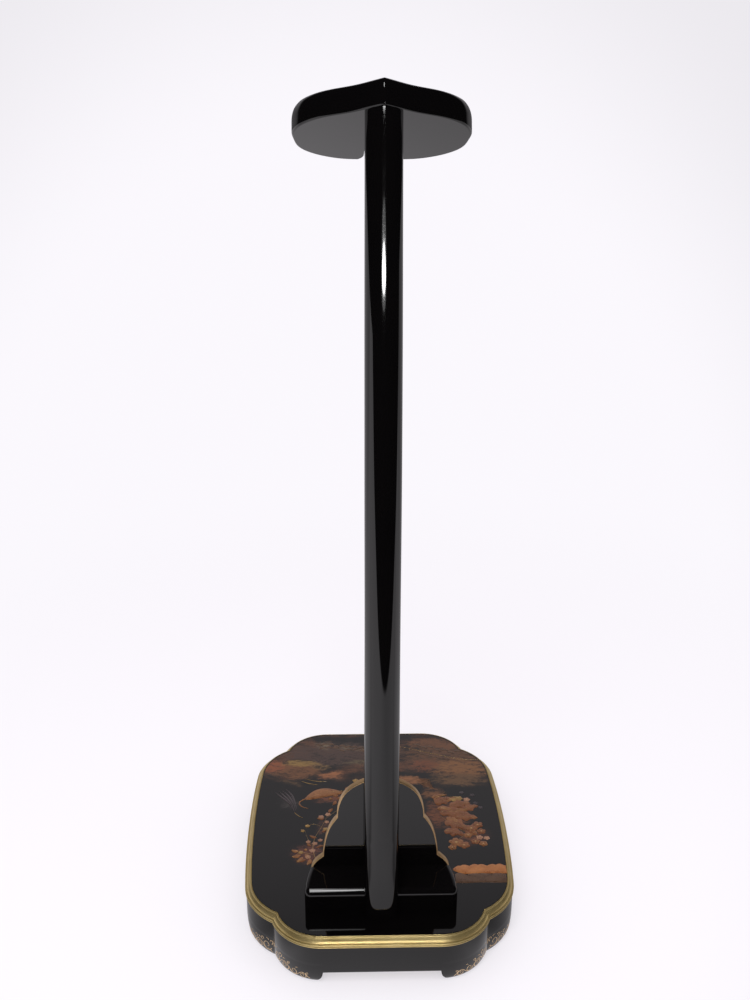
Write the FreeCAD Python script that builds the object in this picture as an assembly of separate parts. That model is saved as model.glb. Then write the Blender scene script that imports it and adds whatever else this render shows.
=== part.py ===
import FreeCAD, Part
import math
import os

# Lacquered floor stand for a long-necked lute: a cusped tray-like base on four corner feet,
# a socket block with a lobed board in front of it, a round slightly curved column, and a
# tilted head plate with a neck notch.
# Frame: +Z up, origin on the floor under the middle of the base, +X to the right,
# +Y to the front (the side the instrument stands on).  Millimetres.

V = FreeCAD.Vector
os.makedirs("parts", exist_ok=True)

# ---------------------------------------------------------------- driving dimensions
# Heights
BASE_TOP = 45.0          # upper face of the base above the floor
PANEL_T = 8.1            # base panel thickness
BATTEN_T = 12.0          # batten under the panel
APRON_BOTTOM = 10.4      # underside of the apron between the feet
FOOT_TOP = 18.0          # top of the feet, let into the apron
PANEL_BOTTOM = BASE_TOP - PANEL_T
BATTEN_BOTTOM = PANEL_BOTTOM - BATTEN_T

# Offsets outward from the panel's edge
RIM_OUT = 6.9            # widest part of the rim moulding
APRON_OUT = 5.9          # apron outer face
APRON_IN = -3.0          # apron inner face
FOOT_IN = -9.0           # foot inner face

# Panel outline, front right quarter: side curve, side lobe, cusp, end lobe, straight end
SIDE_X = 115.0           # panel edge at mid side
SIDE_BOW_2, SIDE_BOW_4 = 4.04, 0.91   # inward bow per (y / 100) squared and to the fourth
SIDE_Y = 81.0            # the side curve ends here and the side lobe starts
END_X = 49.4             # the straight end edge stops here and the end lobe starts
END_Y = 147.5            # nominal panel edge at the straight ends
END_LOBE_INSET = 39.3    # centre of the end lobe back from END_Y
CUSP = (87.2, 119.0)     # re-entrant cusp between the two lobes

# Rim moulding section: height, outward offset
RIM_ROWS = [
    (PANEL_BOTTOM, RIM_OUT - 0.6), (PANEL_BOTTOM + 0.6, RIM_OUT),
    (PANEL_BOTTOM + 1.6, RIM_OUT - 0.3), (BASE_TOP - 3.2, RIM_OUT - 1.5),
    (BASE_TOP - 0.4, 1.9), (BASE_TOP, 1.2),
]
APRON_ROWS = [(APRON_BOTTOM, APRON_OUT), (PANEL_BOTTOM, APRON_OUT)]

# Foot: height, outward offset, degrees trimmed from each end of the L-shaped plan
FOOT_ROWS = [
    (0.0, 2.6, 11.0), (1.2, 3.9, 6.2), (4.0, 5.0, 2.7), (7.5, 5.55, 0.6),
    (APRON_BOTTOM, 5.75, 0.0), (14.0, 5.88, 0.0), (FOOT_TOP, APRON_OUT, 0.0),
]
# Space a foot takes out of the aprons, same columns, reaching past their outer face
RECESS_OUT = 12.0
RECESS_ROWS = [(z, RECESS_OUT, 0.0) for z in (0.0, APRON_BOTTOM, FOOT_TOP)]

# Glue blocks inside the corners
GLUE_SIDE_ANGLE, GLUE_END_ANGLE = 24.0, 30.0   # reach along each lobe from the cusp, degrees
GLUE_DEPTH_X, GLUE_DEPTH_Y = 9.0, 10.0         # inner corner, back from the cusp

BATTEN_HALF_LENGTH, BATTEN_REAR, BATTEN_FRONT = 66.0, -136.0, -84.0

# Socket block
BLOCK_REAR, BLOCK_FRONT = -121.2, -91.4
BLOCK_REAR_H, BLOCK_FRONT_H = 21.8, 24.6       # height of its sloping top at each edge
BLOCK_EDGE = 4.8                               # edge rounding
# right end in plan, an arc through three points: x, y
BLOCK_END = [(61.2, BLOCK_FRONT), (63.8, -103.0), (64.6, BLOCK_REAR)]

# Lobed board, right half: x, height above the base; one list per lobe, from the foot up
BOARD_T = 6.0
BOARD_LOBES = [
    [(60.5, 0.0), (60.6, 8.0), (60.5, 15.0), (60.0, 20.6), (58.3, 26.2), (54.7, 31.0),
     (49.6, 35.5)],
    [(49.6, 35.5), (49.3, 41.0), (48.4, 47.4), (46.9, 55.2), (44.5, 63.0), (41.2, 69.6),
     (37.2, 75.3)],
    [(37.2, 75.3), (36.9, 81.5), (35.8, 87.4), (33.4, 94.3), (29.5, 100.6), (23.2, 106.3),
     (15.0, 110.8), (7.0, 113.8), (0.0, 115.4)],
]

# Column stations: centre y, z, radius
COLUMN = [
    (-118.6, BASE_TOP, 14.3), (-118.4, 55.0, 14.35), (-117.6, 75.0, 14.4),
    (-116.1, 100.0, 14.4), (-113.9, 135.0, 14.4), (-111.8, 180.0, 14.35),
    (-110.2, 227.0, 14.25), (-109.0, 285.0, 14.0), (-107.0, 350.0, 13.95),
    (-104.0, 415.0, 14.0), (-98.8, 477.0, 13.9), (-92.0, 538.0, 13.8),
    (-84.0, 594.0, 13.6), (-79.0, 632.0, 13.45), (-75.6, 660.0, 13.35),
    (-72.6, 685.0, 13.3), (-70.2, 705.0, 13.3),
]
# Superellipse exponent of the section: height, exponent (2 is round, more is squarer)
FULLNESS = [(75.0, 3.4), (100.0, 2.9), (135.0, 2.4), (180.0, 2.1), (227.0, 2.0)]
SECTION_POINTS = 32

# Column tenons and their wedges
TENON_R = 8.0
FOOT_TENON_ROOT = 2.0    # the foot tenon runs this far up into the shaft
HEAD_TENON = 12.0        # depth of the head mortise
HEAD_TENON_ROOT = 6.0    # the head tenon runs this far down into the shaft
HEAD_TENON_Y = -72.9     # where the head tenon's axis meets the plate's lower face
WEDGE_HALF_WIDTH = 6.0
WEDGE_EDGE_HALF = 0.2    # half thickness at the thin edge
FOOT_WEDGE_HALF, FOOT_WEDGE_LEN = 1.6, 15.0
HEAD_WEDGE_HALF, HEAD_WEDGE_LEN = 1.4, 9.0

# Head plate
PLATE_T = 19.2
PLATE_TILT = 22.0        # degrees, front down
PLATE_Y, PLATE_Z = -88.0, 693.2   # origin of the plate's frame, on its lower face
# right half of the outline: x, distance along the plate from its origin
PLATE_OUTLINE = [
    (0.0, -1.2), (10.9, 7.0), (22.3, 14.8), (37.4, 22.4), (47.1, 29.0), (53.7, 35.6),
    (59.3, 43.6), (63.0, 53.0), (65.2, 63.0), (64.7, 74.5), (62.9, 88.5), (59.1, 98.4),
    (53.2, 106.6), (45.2, 113.9), (35.3, 119.6), (26.9, 122.2), (20.0, 122.9),
]
# rounded edge: height above the lower face, inset of the outline
PLATE_ROWS = [
    (0.0, 1.2), (0.45, 0.55), (1.2, 0.12), (2.4, 0.0), (9.5, 0.0), (13.5, 0.3),
    (16.2, 1.05), (18.2, 2.1), (PLATE_T, 3.4),
]

# Neck notch
NOTCH_R = 10.8           # half width and radius at its inner end
NOTCH_MOUTH = 12.2       # half width where the flare starts
NOTCH_TIP = 17.0         # half width at the end of the flare
NOTCH_IN = 62.0          # inner end, along the plate from its origin
NOTCH_FLARE = 10.9       # length of the flare along the plate
FLARE_MID_OUT = 1.5      # middle point of the flare's arc, outward from NOTCH_MOUTH
FLARE_MID_SHARE = 0.6    # and its share of the flare's length
NOTCH_BELOW, NOTCH_ABOVE, NOTCH_BEYOND = 5.0, 5.0, 20.0   # cutter overrun past the plate

# Fasteners
BLOCK_SCREW = (38.0, 4.0, 8.0)      # length, diameter, head diameter
BATTEN_SCREW = (17.0, 3.5, 7.0)
SCREW_TIP_R = 0.3
BLOCK_SCREW_XS = (-48.0, -26.0, 26.0, 48.0)
BLOCK_SCREW_Y = (BLOCK_REAR + BLOCK_FRONT) / 2.0
BATTEN_SCREW_XS = (-58.0, 58.0)
BATTEN_SCREW_YS = (-123.0, -91.0)
DOWEL_R, DOWEL_LEN = 3.0, 16.0
DOWEL_IN_BLOCK = 12.0               # depth in the socket block
DOWEL_H = 11.0                      # axis above the base
DOWEL_XS = (-56.0, -37.0, 37.0, 56.0)

CORNERS = [(x_sign, y_sign) for x_sign in (1, -1) for y_sign in (1, -1)]


# ---------------------------------------------------------------- general helpers
def unit(x, y):
    length = math.hypot(x, y)
    return x / length, y / length


def mirror(point, x_sign, y_sign):
    return point[0] * x_sign, point[1] * y_sign


def line(start, end, z):
    return Part.makeLine(V(*start, z), V(*end, z))


def spline(points):
    curve = Part.BSplineCurve()
    curve.interpolate(points)
    return curve.toShape()


def sorted_wire(edges):
    return Part.Wire(Part.__sortEdges__(edges))


def stack(section, rows):
    """Solid of ruled lofts between neighbouring rows; section(*row) builds a wire."""
    solid = None
    for lower, upper in zip(rows[:-1], rows[1:]):
        layer = Part.makeLoft([section(*lower), section(*upper)], True, True)
        solid = layer if solid is None else solid.fuse(layer)
    return solid.removeSplitter() if len(rows) > 2 else solid


def cut_all(shape, tools):
    for tool in tools:
        shape = shape.cut(tool)
    return shape


def export(name, shape):
    solids = shape.Solids
    shape = solids[0] if len(solids) == 1 else Part.makeCompound(solids)
    shape.exportStep("parts/%s.step" % name)


# ---------------------------------------------------------------- base plan
# Points are in the front right quarter; offset is outward from the panel's edge.
def side_x(y):
    t = y / 100.0
    return SIDE_X - SIDE_BOW_2 * t ** 2 - SIDE_BOW_4 * t ** 4


def side_slope(y):
    t = y / 100.0
    return -(2.0 * SIDE_BOW_2 * t + 4.0 * SIDE_BOW_4 * t ** 3) / 100.0


def side_point(y, offset):
    normal_x, normal_y = unit(1.0, -side_slope(y))
    return side_x(y) + normal_x * offset, y + normal_y * offset


def tangent_side_lobe():
    """Centre x, centre y, radius of the arc that runs smoothly from the side to the cusp."""
    start_x = side_x(SIDE_Y)
    chord_angle = math.atan2(start_x - CUSP[0], CUSP[1] - SIDE_Y)
    end_angle = 2.0 * chord_angle - SIDE_LOBE_START
    radius = (CUSP[1] - SIDE_Y) / (math.sin(end_angle) - math.sin(SIDE_LOBE_START))
    return (start_x - radius * math.cos(SIDE_LOBE_START),
            SIDE_Y - radius * math.sin(SIDE_LOBE_START), radius)


# Each lobe is centre x, centre y, radius
SIDE_LOBE_START = math.atan(-side_slope(SIDE_Y))
SIDE_LOBE = tangent_side_lobe()
END_LOBE_Y = END_Y - END_LOBE_INSET
END_LOBE = (END_X, END_LOBE_Y, math.hypot(CUSP[0] - END_X, CUSP[1] - END_LOBE_Y))


def on_lobe(lobe, angle, offset):
    radius = lobe[2] + offset
    return lobe[0] + radius * math.cos(angle), lobe[1] + radius * math.sin(angle)


def lobe_angle(lobe, point):
    return math.atan2(point[1] - lobe[1], point[0] - lobe[0])


def lobe_arc(lobe, offset, start, end, z, x_sign, y_sign):
    """Arc along an offset lobe between two of its points, mirrored by the signs."""
    middle_angle = 0.5 * (lobe_angle(lobe, start) + lobe_angle(lobe, end))
    points = (start, on_lobe(lobe, middle_angle, offset), end)
    return Part.Arc(*[V(*mirror(p, x_sign, y_sign), z) for p in points]).toShape()


def cusp_point(offset):
    """Outer crossing of the two offset lobes."""
    side_r, end_r = SIDE_LOBE[2] + offset, END_LOBE[2] + offset
    dx, dy = END_LOBE[0] - SIDE_LOBE[0], END_LOBE[1] - SIDE_LOBE[1]
    span = math.hypot(dx, dy)
    along = (side_r ** 2 - end_r ** 2 + span ** 2) / (2.0 * span)
    across = math.sqrt(side_r ** 2 - along ** 2)
    return (SIDE_LOBE[0] + (along * dx + across * dy) / span,
            SIDE_LOBE[1] + (along * dy - across * dx) / span)


def side_edges(offset, z, x_sign):
    """One long side from the rear cusp to the front cusp: edges, first and last point."""
    cusp = cusp_point(offset)
    meet = side_point(SIDE_Y, offset)
    middle = [side_point(-SIDE_Y + 2.0 * SIDE_Y * i / 12.0, offset) for i in range(13)]
    edges = [lobe_arc(SIDE_LOBE, offset, cusp, meet, z, x_sign, -1),
             spline([V(x_sign * x, y, z) for x, y in middle]),
             lobe_arc(SIDE_LOBE, offset, meet, cusp, z, x_sign, 1)]
    return edges, mirror(cusp, x_sign, -1), mirror(cusp, x_sign, 1)


def end_edges(offset, z, y_sign):
    """One short end from the left cusp to the right cusp: edges, first and last point."""
    cusp = cusp_point(offset)
    meet = (END_X, END_LOBE[1] + END_LOBE[2] + offset)
    edges = [lobe_arc(END_LOBE, offset, cusp, meet, z, -1, y_sign),
             line(mirror(meet, -1, y_sign), mirror(meet, 1, y_sign), z),
             lobe_arc(END_LOBE, offset, meet, cusp, z, 1, y_sign)]
    return edges, mirror(cusp, -1, y_sign), mirror(cusp, 1, y_sign)


def edge_strip(edge_curve, sign, rows, inner):
    """Length of moulding mitred at the cusps; rows of height and outer offset."""
    def section(z, outer):
        outer_edges, outer_start, outer_end = edge_curve(outer, z, sign)
        inner_edges, inner_start, inner_end = edge_curve(inner, z, sign)
        return sorted_wire(outer_edges + [line(outer_end, inner_end, z)]
                           + list(reversed(inner_edges)) + [line(inner_start, outer_start, z)])
    return stack(section, rows)


STRIPS = {"left": (side_edges, -1), "right": (side_edges, 1),
          "rear": (end_edges, -1), "front": (end_edges, 1)}


# ---------------------------------------------------------------- rim, aprons and feet
def corner_foot(x_sign, y_sign, rows):
    """L-shaped foot around a cusp."""
    def section(z, outer, trim):
        side_angle = SIDE_LOBE_START + math.radians(trim)
        end_angle = math.pi / 2.0 - math.radians(trim)
        cusp_out, cusp_in = cusp_point(outer), cusp_point(FOOT_IN)
        side_out = on_lobe(SIDE_LOBE, side_angle, outer)
        side_in = on_lobe(SIDE_LOBE, side_angle, FOOT_IN)
        end_out = on_lobe(END_LOBE, end_angle, outer)
        end_in = on_lobe(END_LOBE, end_angle, FOOT_IN)
        place = (z, x_sign, y_sign)
        return sorted_wire([
            lobe_arc(SIDE_LOBE, outer, side_out, cusp_out, *place),
            lobe_arc(END_LOBE, outer, cusp_out, end_out, *place),
            line(mirror(end_out, x_sign, y_sign), mirror(end_in, x_sign, y_sign), z),
            lobe_arc(END_LOBE, FOOT_IN, end_in, cusp_in, *place),
            lobe_arc(SIDE_LOBE, FOOT_IN, cusp_in, side_in, *place),
            line(mirror(side_in, x_sign, y_sign), mirror(side_out, x_sign, y_sign), z)])
    return stack(section, rows)


foot_recesses = [corner_foot(*corner, RECESS_ROWS) for corner in CORNERS]
for place_name, (edge_curve, sign) in STRIPS.items():
    export("rim_" + place_name, edge_strip(edge_curve, sign, RIM_ROWS, 0.0))
    apron = edge_strip(edge_curve, sign, APRON_ROWS, APRON_IN)
    export("apron_" + place_name, cut_all(apron, foot_recesses))

for end_name, y_sign in (("rear", -1), ("front", 1)):
    for side_name, x_sign in (("left", -1), ("right", 1)):
        export("foot_%s_%s" % (end_name, side_name), corner_foot(x_sign, y_sign, FOOT_ROWS))


# ---------------------------------------------------------------- glue blocks
def glue_block(x_sign, y_sign):
    """Block between the tops of the feet and the panel, against the apron's inner face."""
    cusp = cusp_point(APRON_IN)
    side_angle = lobe_angle(SIDE_LOBE, cusp) - math.radians(GLUE_SIDE_ANGLE)
    end_angle = lobe_angle(END_LOBE, cusp) + math.radians(GLUE_END_ANGLE)
    side_tip = on_lobe(SIDE_LOBE, side_angle, APRON_IN)
    end_tip = on_lobe(END_LOBE, end_angle, APRON_IN)
    inner = mirror((cusp[0] - GLUE_DEPTH_X, cusp[1] - GLUE_DEPTH_Y), x_sign, y_sign)
    plan = sorted_wire([
        lobe_arc(SIDE_LOBE, APRON_IN, side_tip, cusp, FOOT_TOP, x_sign, y_sign),
        lobe_arc(END_LOBE, APRON_IN, cusp, end_tip, FOOT_TOP, x_sign, y_sign),
        line(mirror(end_tip, x_sign, y_sign), inner, FOOT_TOP),
        line(inner, mirror(side_tip, x_sign, y_sign), FOOT_TOP)])
    return Part.Face(plan).extrude(V(0, 0, PANEL_BOTTOM - FOOT_TOP))


export("corner_blocks", Part.makeCompound([glue_block(*corner) for corner in CORNERS]))


# ---------------------------------------------------------------- screws and dowels
def screw(x, y, length, diameter, head):
    """Countersunk wood screw, head down in the batten's underside, point up."""
    radius = diameter / 2.0
    head_h = (head - diameter) / 2.0
    tip = diameter * 0.9
    z = BATTEN_BOTTOM
    body = Part.makeCone(head / 2.0, radius, head_h, V(x, y, z))
    body = body.fuse(Part.makeCylinder(radius, length - head_h - tip, V(x, y, z + head_h)))
    body = body.fuse(Part.makeCone(radius, SCREW_TIP_R, tip, V(x, y, z + length - tip)))
    return body.removeSplitter()


block_screws = [screw(x, BLOCK_SCREW_Y, *BLOCK_SCREW) for x in BLOCK_SCREW_XS]
batten_screws = [screw(x, y, *BATTEN_SCREW) for x in BATTEN_SCREW_XS for y in BATTEN_SCREW_YS]
dowels = [Part.makeCylinder(DOWEL_R, DOWEL_LEN,
                            V(x, BLOCK_FRONT - DOWEL_IN_BLOCK, BASE_TOP + DOWEL_H), V(0, 1, 0))
          for x in DOWEL_XS]
export("block_screws", Part.makeCompound(block_screws))
export("batten_screws", Part.makeCompound(batten_screws))
export("board_dowels", Part.makeCompound(dowels))

# ---------------------------------------------------------------- head plate frame
# u runs across, v along the plate to the front, w out of its upper face
TILT = math.radians(PLATE_TILT)
PLATE_ORIGIN = V(0, PLATE_Y, PLATE_Z)
PLATE_ALONG = V(0, math.cos(TILT), -math.sin(TILT))
PLATE_NORMAL = V(0, math.sin(TILT), math.cos(TILT))


def on_plate(u, v, w):
    return PLATE_ORIGIN + V(u, 0, 0) + PLATE_ALONG * v + PLATE_NORMAL * w


HEAD_TENON_V = (HEAD_TENON_Y - PLATE_Y) / math.cos(TILT)
HEAD_TENON_BASE = on_plate(0, HEAD_TENON_V, 0)


# ---------------------------------------------------------------- column
def fullness(z):
    """Superellipse exponent at height z."""
    for (z0, n0), (z1, n1) in zip(FULLNESS[:-1], FULLNESS[1:]):
        if z <= z1:
            return n0 + (n1 - n0) * max(0.0, z - z0) / (z1 - z0)
    return FULLNESS[-1][1]


def column_section(index):
    """Closed smooth section square to the column's run; the lowest one is level."""
    y, z, radius = COLUMN[index]
    if index == 0:
        axis = V(0, 0, 1)
    else:
        before, after = COLUMN[index - 1], COLUMN[min(len(COLUMN) - 1, index + 1)]
        axis = V(0, after[0] - before[0], after[1] - before[1])
        axis.normalize()
    forward = V(0, axis.z, -axis.y)
    power = fullness(z)
    points = []
    for k in range(SECTION_POINTS):
        angle = 2.0 * math.pi * k / SECTION_POINTS
        cos, sin = math.cos(angle), math.sin(angle)
        reach = radius / (abs(cos) ** power + abs(sin) ** power) ** (1.0 / power)
        points.append(V(0, y, z) + V(1, 0, 0) * (reach * sin) + forward * (reach * cos))
    curve = Part.BSplineCurve()
    curve.interpolate(Points=points, PeriodicFlag=True)
    return Part.Wire([curve.toShape()])


def column_shaft():
    """Shaft cut off at the plate's lower face."""
    shaft = Part.makeLoft([column_section(i) for i in range(len(COLUMN))], True, False)
    above_plate = Part.makeBox(200, 260, 120, V(-100, -130, 0))
    above_plate.Placement = FreeCAD.Placement(
        PLATE_ORIGIN, FreeCAD.Rotation(V(1, 0, 0), -PLATE_TILT))
    return shaft.cut(above_plate)


def wedge(point_at, centre, thick_half, thick_level, edge_level):
    """Wedge from its thick end to a thin edge; point_at maps (across, along, level)."""
    corners = [point_at(-WEDGE_HALF_WIDTH, centre + shift, level) for shift, level in (
        (-thick_half, thick_level), (thick_half, thick_level),
        (WEDGE_EDGE_HALF, edge_level), (-WEDGE_EDGE_HALF, edge_level),
        (-thick_half, thick_level))]
    return Part.Face(Part.makePolygon(corners)).extrude(V(2.0 * WEDGE_HALF_WIDTH, 0, 0))


column_foot_y = COLUMN[0][0]
shaft = column_shaft()
foot_tenon = Part.makeCylinder(TENON_R, BASE_TOP - BATTEN_BOTTOM + FOOT_TENON_ROOT,
                               V(0, column_foot_y, BATTEN_BOTTOM))
head_tenon = Part.makeCylinder(TENON_R, HEAD_TENON + HEAD_TENON_ROOT,
                               HEAD_TENON_BASE - PLATE_NORMAL * HEAD_TENON_ROOT, PLATE_NORMAL)
foot_wedge = wedge(V, column_foot_y, FOOT_WEDGE_HALF,
                   BATTEN_BOTTOM, BATTEN_BOTTOM + FOOT_WEDGE_LEN)
head_wedge = wedge(on_plate, HEAD_TENON_V, HEAD_WEDGE_HALF,
                   HEAD_TENON, HEAD_TENON - HEAD_WEDGE_LEN)
column = shaft.fuse(head_tenon).fuse(foot_tenon).removeSplitter()
export("column", column.cut(head_wedge).cut(foot_wedge))
export("foot_wedge", foot_wedge)
export("head_wedge", head_wedge)


# ---------------------------------------------------------------- head plate
def inset_outline(inset):
    """Right half of the plate's outline moved inward."""
    points = PLATE_OUTLINE
    first, last = points[0], points[-1]
    # the rear point slides along the middle line, the front corner keeps its width
    across = unit(points[1][0] - first[0], points[1][1] - first[1])[0]
    result = [(0.0, first[1] + inset / across)]
    for before, (u, v), after in zip(points[:-2], points[1:-1], points[2:]):
        run_u, run_v = unit(after[0] - before[0], after[1] - before[1])
        result.append((u - run_v * inset, v + run_u * inset))
    result.append((last[0], last[1] - inset))
    return result


def plate_section(w, inset):
    outline = inset_outline(inset)
    right = spline([on_plate(u, v, w) for u, v in outline])
    left = spline([on_plate(-u, v, w) for u, v in outline])
    u, v = outline[-1]
    front = Part.makeLine(on_plate(u, v, w), on_plate(-u, v, w))
    return sorted_wire([right, front, left])


def neck_notch():
    """Cutter with a round inner end, slightly tapered sides and a flared mouth."""
    def at(u, v):
        return on_plate(u, v, -NOTCH_BELOW)

    plate_end = PLATE_OUTLINE[-1][1]
    beyond = plate_end + NOTCH_BEYOND
    round_v, flare_v = NOTCH_IN + NOTCH_R, plate_end - NOTCH_FLARE
    mid_u, mid_v = NOTCH_MOUTH + FLARE_MID_OUT, flare_v + FLARE_MID_SHARE * NOTCH_FLARE
    edges = [Part.Arc(at(-NOTCH_R, round_v), at(0, NOTCH_IN), at(NOTCH_R, round_v)).toShape()]
    for side in (1, -1):
        mouth, tip = at(side * NOTCH_MOUTH, flare_v), at(side * NOTCH_TIP, plate_end)
        edges += [Part.makeLine(at(side * NOTCH_R, round_v), mouth),
                  Part.Arc(mouth, at(side * mid_u, mid_v), tip).toShape(),
                  Part.makeLine(tip, at(side * NOTCH_TIP, beyond))]
    edges.append(Part.makeLine(at(NOTCH_TIP, beyond), at(-NOTCH_TIP, beyond)))
    height = PLATE_T + NOTCH_BELOW + NOTCH_ABOVE
    return Part.Face(sorted_wire(edges)).extrude(PLATE_NORMAL * height)


head_mortise = Part.makeCylinder(TENON_R, HEAD_TENON, HEAD_TENON_BASE, PLATE_NORMAL)
export("head_plate", stack(plate_section, PLATE_ROWS).cut(neck_notch()).cut(head_mortise))


# ---------------------------------------------------------------- panel and batten
def base_panel():
    edges = []
    for sign in (1, -1):
        edges += side_edges(0.0, PANEL_BOTTOM, sign)[0] + end_edges(0.0, PANEL_BOTTOM, sign)[0]
    return Part.Face(sorted_wire(edges)).extrude(V(0, 0, PANEL_T))


through_base = [foot_tenon] + block_screws + batten_screws
batten = Part.makeBox(2.0 * BATTEN_HALF_LENGTH, BATTEN_FRONT - BATTEN_REAR, BATTEN_T,
                      V(-BATTEN_HALF_LENGTH, BATTEN_REAR, BATTEN_BOTTOM))
export("base_panel", cut_all(base_panel(), through_base))
export("socket_batten", cut_all(batten, through_base))


# ---------------------------------------------------------------- socket block
def socket_block():
    """Block with bowed ends and a top that slopes down to the rear, edges rounded."""
    right, left = [[V(sign * x, y, BASE_TOP) for x, y in BLOCK_END] for sign in (1, -1)]
    plan = sorted_wire([Part.Arc(*right).toShape(), Part.makeLine(right[2], left[2]),
                        Part.Arc(*left).toShape(), Part.makeLine(left[0], right[0])])
    # the side profile starts 1 mm behind the block
    slope = (BLOCK_FRONT_H - BLOCK_REAR_H) / (BLOCK_FRONT - BLOCK_REAR)
    behind = BLOCK_REAR - 1
    profile = Part.Face(Part.makePolygon([V(-80, y, BASE_TOP + height) for y, height in (
        (behind, 0.0), (BLOCK_FRONT, 0.0), (BLOCK_FRONT, BLOCK_FRONT_H),
        (behind, BLOCK_REAR_H - slope), (behind, 0.0))]))
    block = Part.Face(plan).extrude(V(0, 0, 40)).common(profile.extrude(V(160, 0, 0)))

    # top edges and rear uprights, but not the edges against the board
    def is_rounded(box):
        top = box.ZMin > BASE_TOP + 5 and box.YMin < BLOCK_FRONT - 1
        return top or (box.ZLength > 10 and box.YMax < BLOCK_FRONT - 1)

    return block.makeFillet(BLOCK_EDGE, [e for e in block.Edges if is_rounded(e.BoundBox)])


export("socket_block", cut_all(socket_block(), [shaft] + block_screws + dowels))


# ---------------------------------------------------------------- lobed board
def back_board():
    """Board against the front of the socket block."""
    y = BLOCK_FRONT
    edges = []
    for lobe in BOARD_LOBES[:-1]:
        for sign in (1, -1):
            edges.append(spline([V(sign * x, y, BASE_TOP + height) for x, height in lobe]))
    # the top lobe is one curve across the middle line
    top = [V(x, y, BASE_TOP + height) for x, height in BOARD_LOBES[-1]]
    edges.append(spline(top + [V(-p.x, p.y, p.z) for p in reversed(top[:-1])]))
    foot_x = BOARD_LOBES[0][0][0]
    edges.append(Part.makeLine(V(foot_x, y, BASE_TOP), V(-foot_x, y, BASE_TOP)))
    return Part.Face(sorted_wire(edges)).extrude(V(0, BOARD_T, 0))


export("back_board", cut_all(back_board(), dowels))
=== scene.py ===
import math
import random

import bmesh
import bpy
import numpy as np
from mathutils import Euler, Matrix, Vector


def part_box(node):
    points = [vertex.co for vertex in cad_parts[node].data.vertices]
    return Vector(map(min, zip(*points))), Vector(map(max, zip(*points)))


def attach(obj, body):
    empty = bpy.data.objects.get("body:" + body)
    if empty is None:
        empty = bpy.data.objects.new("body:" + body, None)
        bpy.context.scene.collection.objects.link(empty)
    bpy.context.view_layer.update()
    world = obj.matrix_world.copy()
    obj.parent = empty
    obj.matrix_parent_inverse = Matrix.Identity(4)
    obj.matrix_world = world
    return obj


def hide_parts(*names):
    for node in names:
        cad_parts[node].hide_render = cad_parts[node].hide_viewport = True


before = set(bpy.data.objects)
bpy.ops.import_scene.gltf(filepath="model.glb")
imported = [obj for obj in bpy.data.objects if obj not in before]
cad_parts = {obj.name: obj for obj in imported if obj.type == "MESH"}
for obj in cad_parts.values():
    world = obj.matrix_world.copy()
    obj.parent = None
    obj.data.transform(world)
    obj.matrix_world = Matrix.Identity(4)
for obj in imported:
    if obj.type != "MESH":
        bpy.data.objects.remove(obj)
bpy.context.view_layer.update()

MM = 0.001
SC = bpy.context.scene
RNG = random.Random(20)


# ------------------------------------------------------------------ places, all from the frame
def boxmm(node):
    lo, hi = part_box(node)
    return [v / MM for v in lo], [v / MM for v in hi]


P_LO, P_HI = boxmm("base_panel")
B_LO, B_HI = boxmm("socket_block")
BB_LO, BB_HI = boxmm("back_board")
C_LO, C_HI = boxmm("column")
H_LO, H_HI = boxmm("head_plate")
R_LO, R_HI = boxmm("rim_right")
A_LO, A_HI = boxmm("apron_right")
F_LO, F_HI = boxmm("foot_rear_right")
BAT_LO, BAT_HI = boxmm("socket_batten")

TOP = P_HI[2]                    # 45
PANEL_BOT = P_LO[2]              # 36.9
SIDE_X, END_Y = P_HI[0], P_HI[1]  # 115, 147.5
APRON_BOT = A_LO[2]              # 10.4
FOOT_TOP = F_HI[2]               # 18
RIM_OUT = R_HI[0] - P_HI[0]      # 6.9
APRON_OUT = A_HI[0] - P_HI[0]    # 5.9
APRON_IN = -3.0
FOOT_IN = -9.0
SIDE_Y, END_X = 81.0, 49.4
CUSP = (87.2, 119.0)
LOBE_B_R = 39.3


# ------------------------------------------------------------------ base plan (first quadrant)
def side_x(y):
    t = y / 100.0
    return SIDE_X - 4.04 * t * t - 0.91 * t ** 4


def side_slope(y):
    t = y / 100.0
    return -(8.08 * t + 3.64 * t ** 3) / 100.0


A0 = math.atan(-side_slope(SIDE_Y))
_ax = side_x(SIDE_Y)
_m = math.atan2(_ax - CUSP[0], CUSP[1] - SIDE_Y)
A1 = 2 * _m - A0
LOBE_A_R = (CUSP[1] - SIDE_Y) / (math.sin(A1) - math.sin(A0))
CA = (_ax - LOBE_A_R * math.cos(A0), SIDE_Y - LOBE_A_R * math.sin(A0))
CB = (END_X, END_Y - LOBE_B_R)
RB = math.hypot(CUSP[0] - CB[0], CUSP[1] - CB[1])


def cusp_pt(d):
    ra, rb = LOBE_A_R + d, RB + d
    dx, dy = CB[0] - CA[0], CB[1] - CA[1]
    dd = math.hypot(dx, dy)
    a = (ra * ra - rb * rb + dd * dd) / (2 * dd)
    h = math.sqrt(ra * ra - a * a)
    mx, my = CA[0] + a * dx / dd, CA[1] + a * dy / dd
    p = (mx + h * dy / dd, my - h * dx / dd)
    q = (mx - h * dy / dd, my + h * dx / dd)
    return p if p[0] + p[1] > q[0] + q[1] else q


def arc_a(u, d):
    """lobe A, u = 0 at the side, 1 at the cusp"""
    c = cusp_pt(d)
    a1 = math.atan2(c[1] - CA[1], c[0] - CA[0])
    a = A0 + (a1 - A0) * u
    return CA[0] + (LOBE_A_R + d) * math.cos(a), CA[1] + (LOBE_A_R + d) * math.sin(a)


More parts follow.
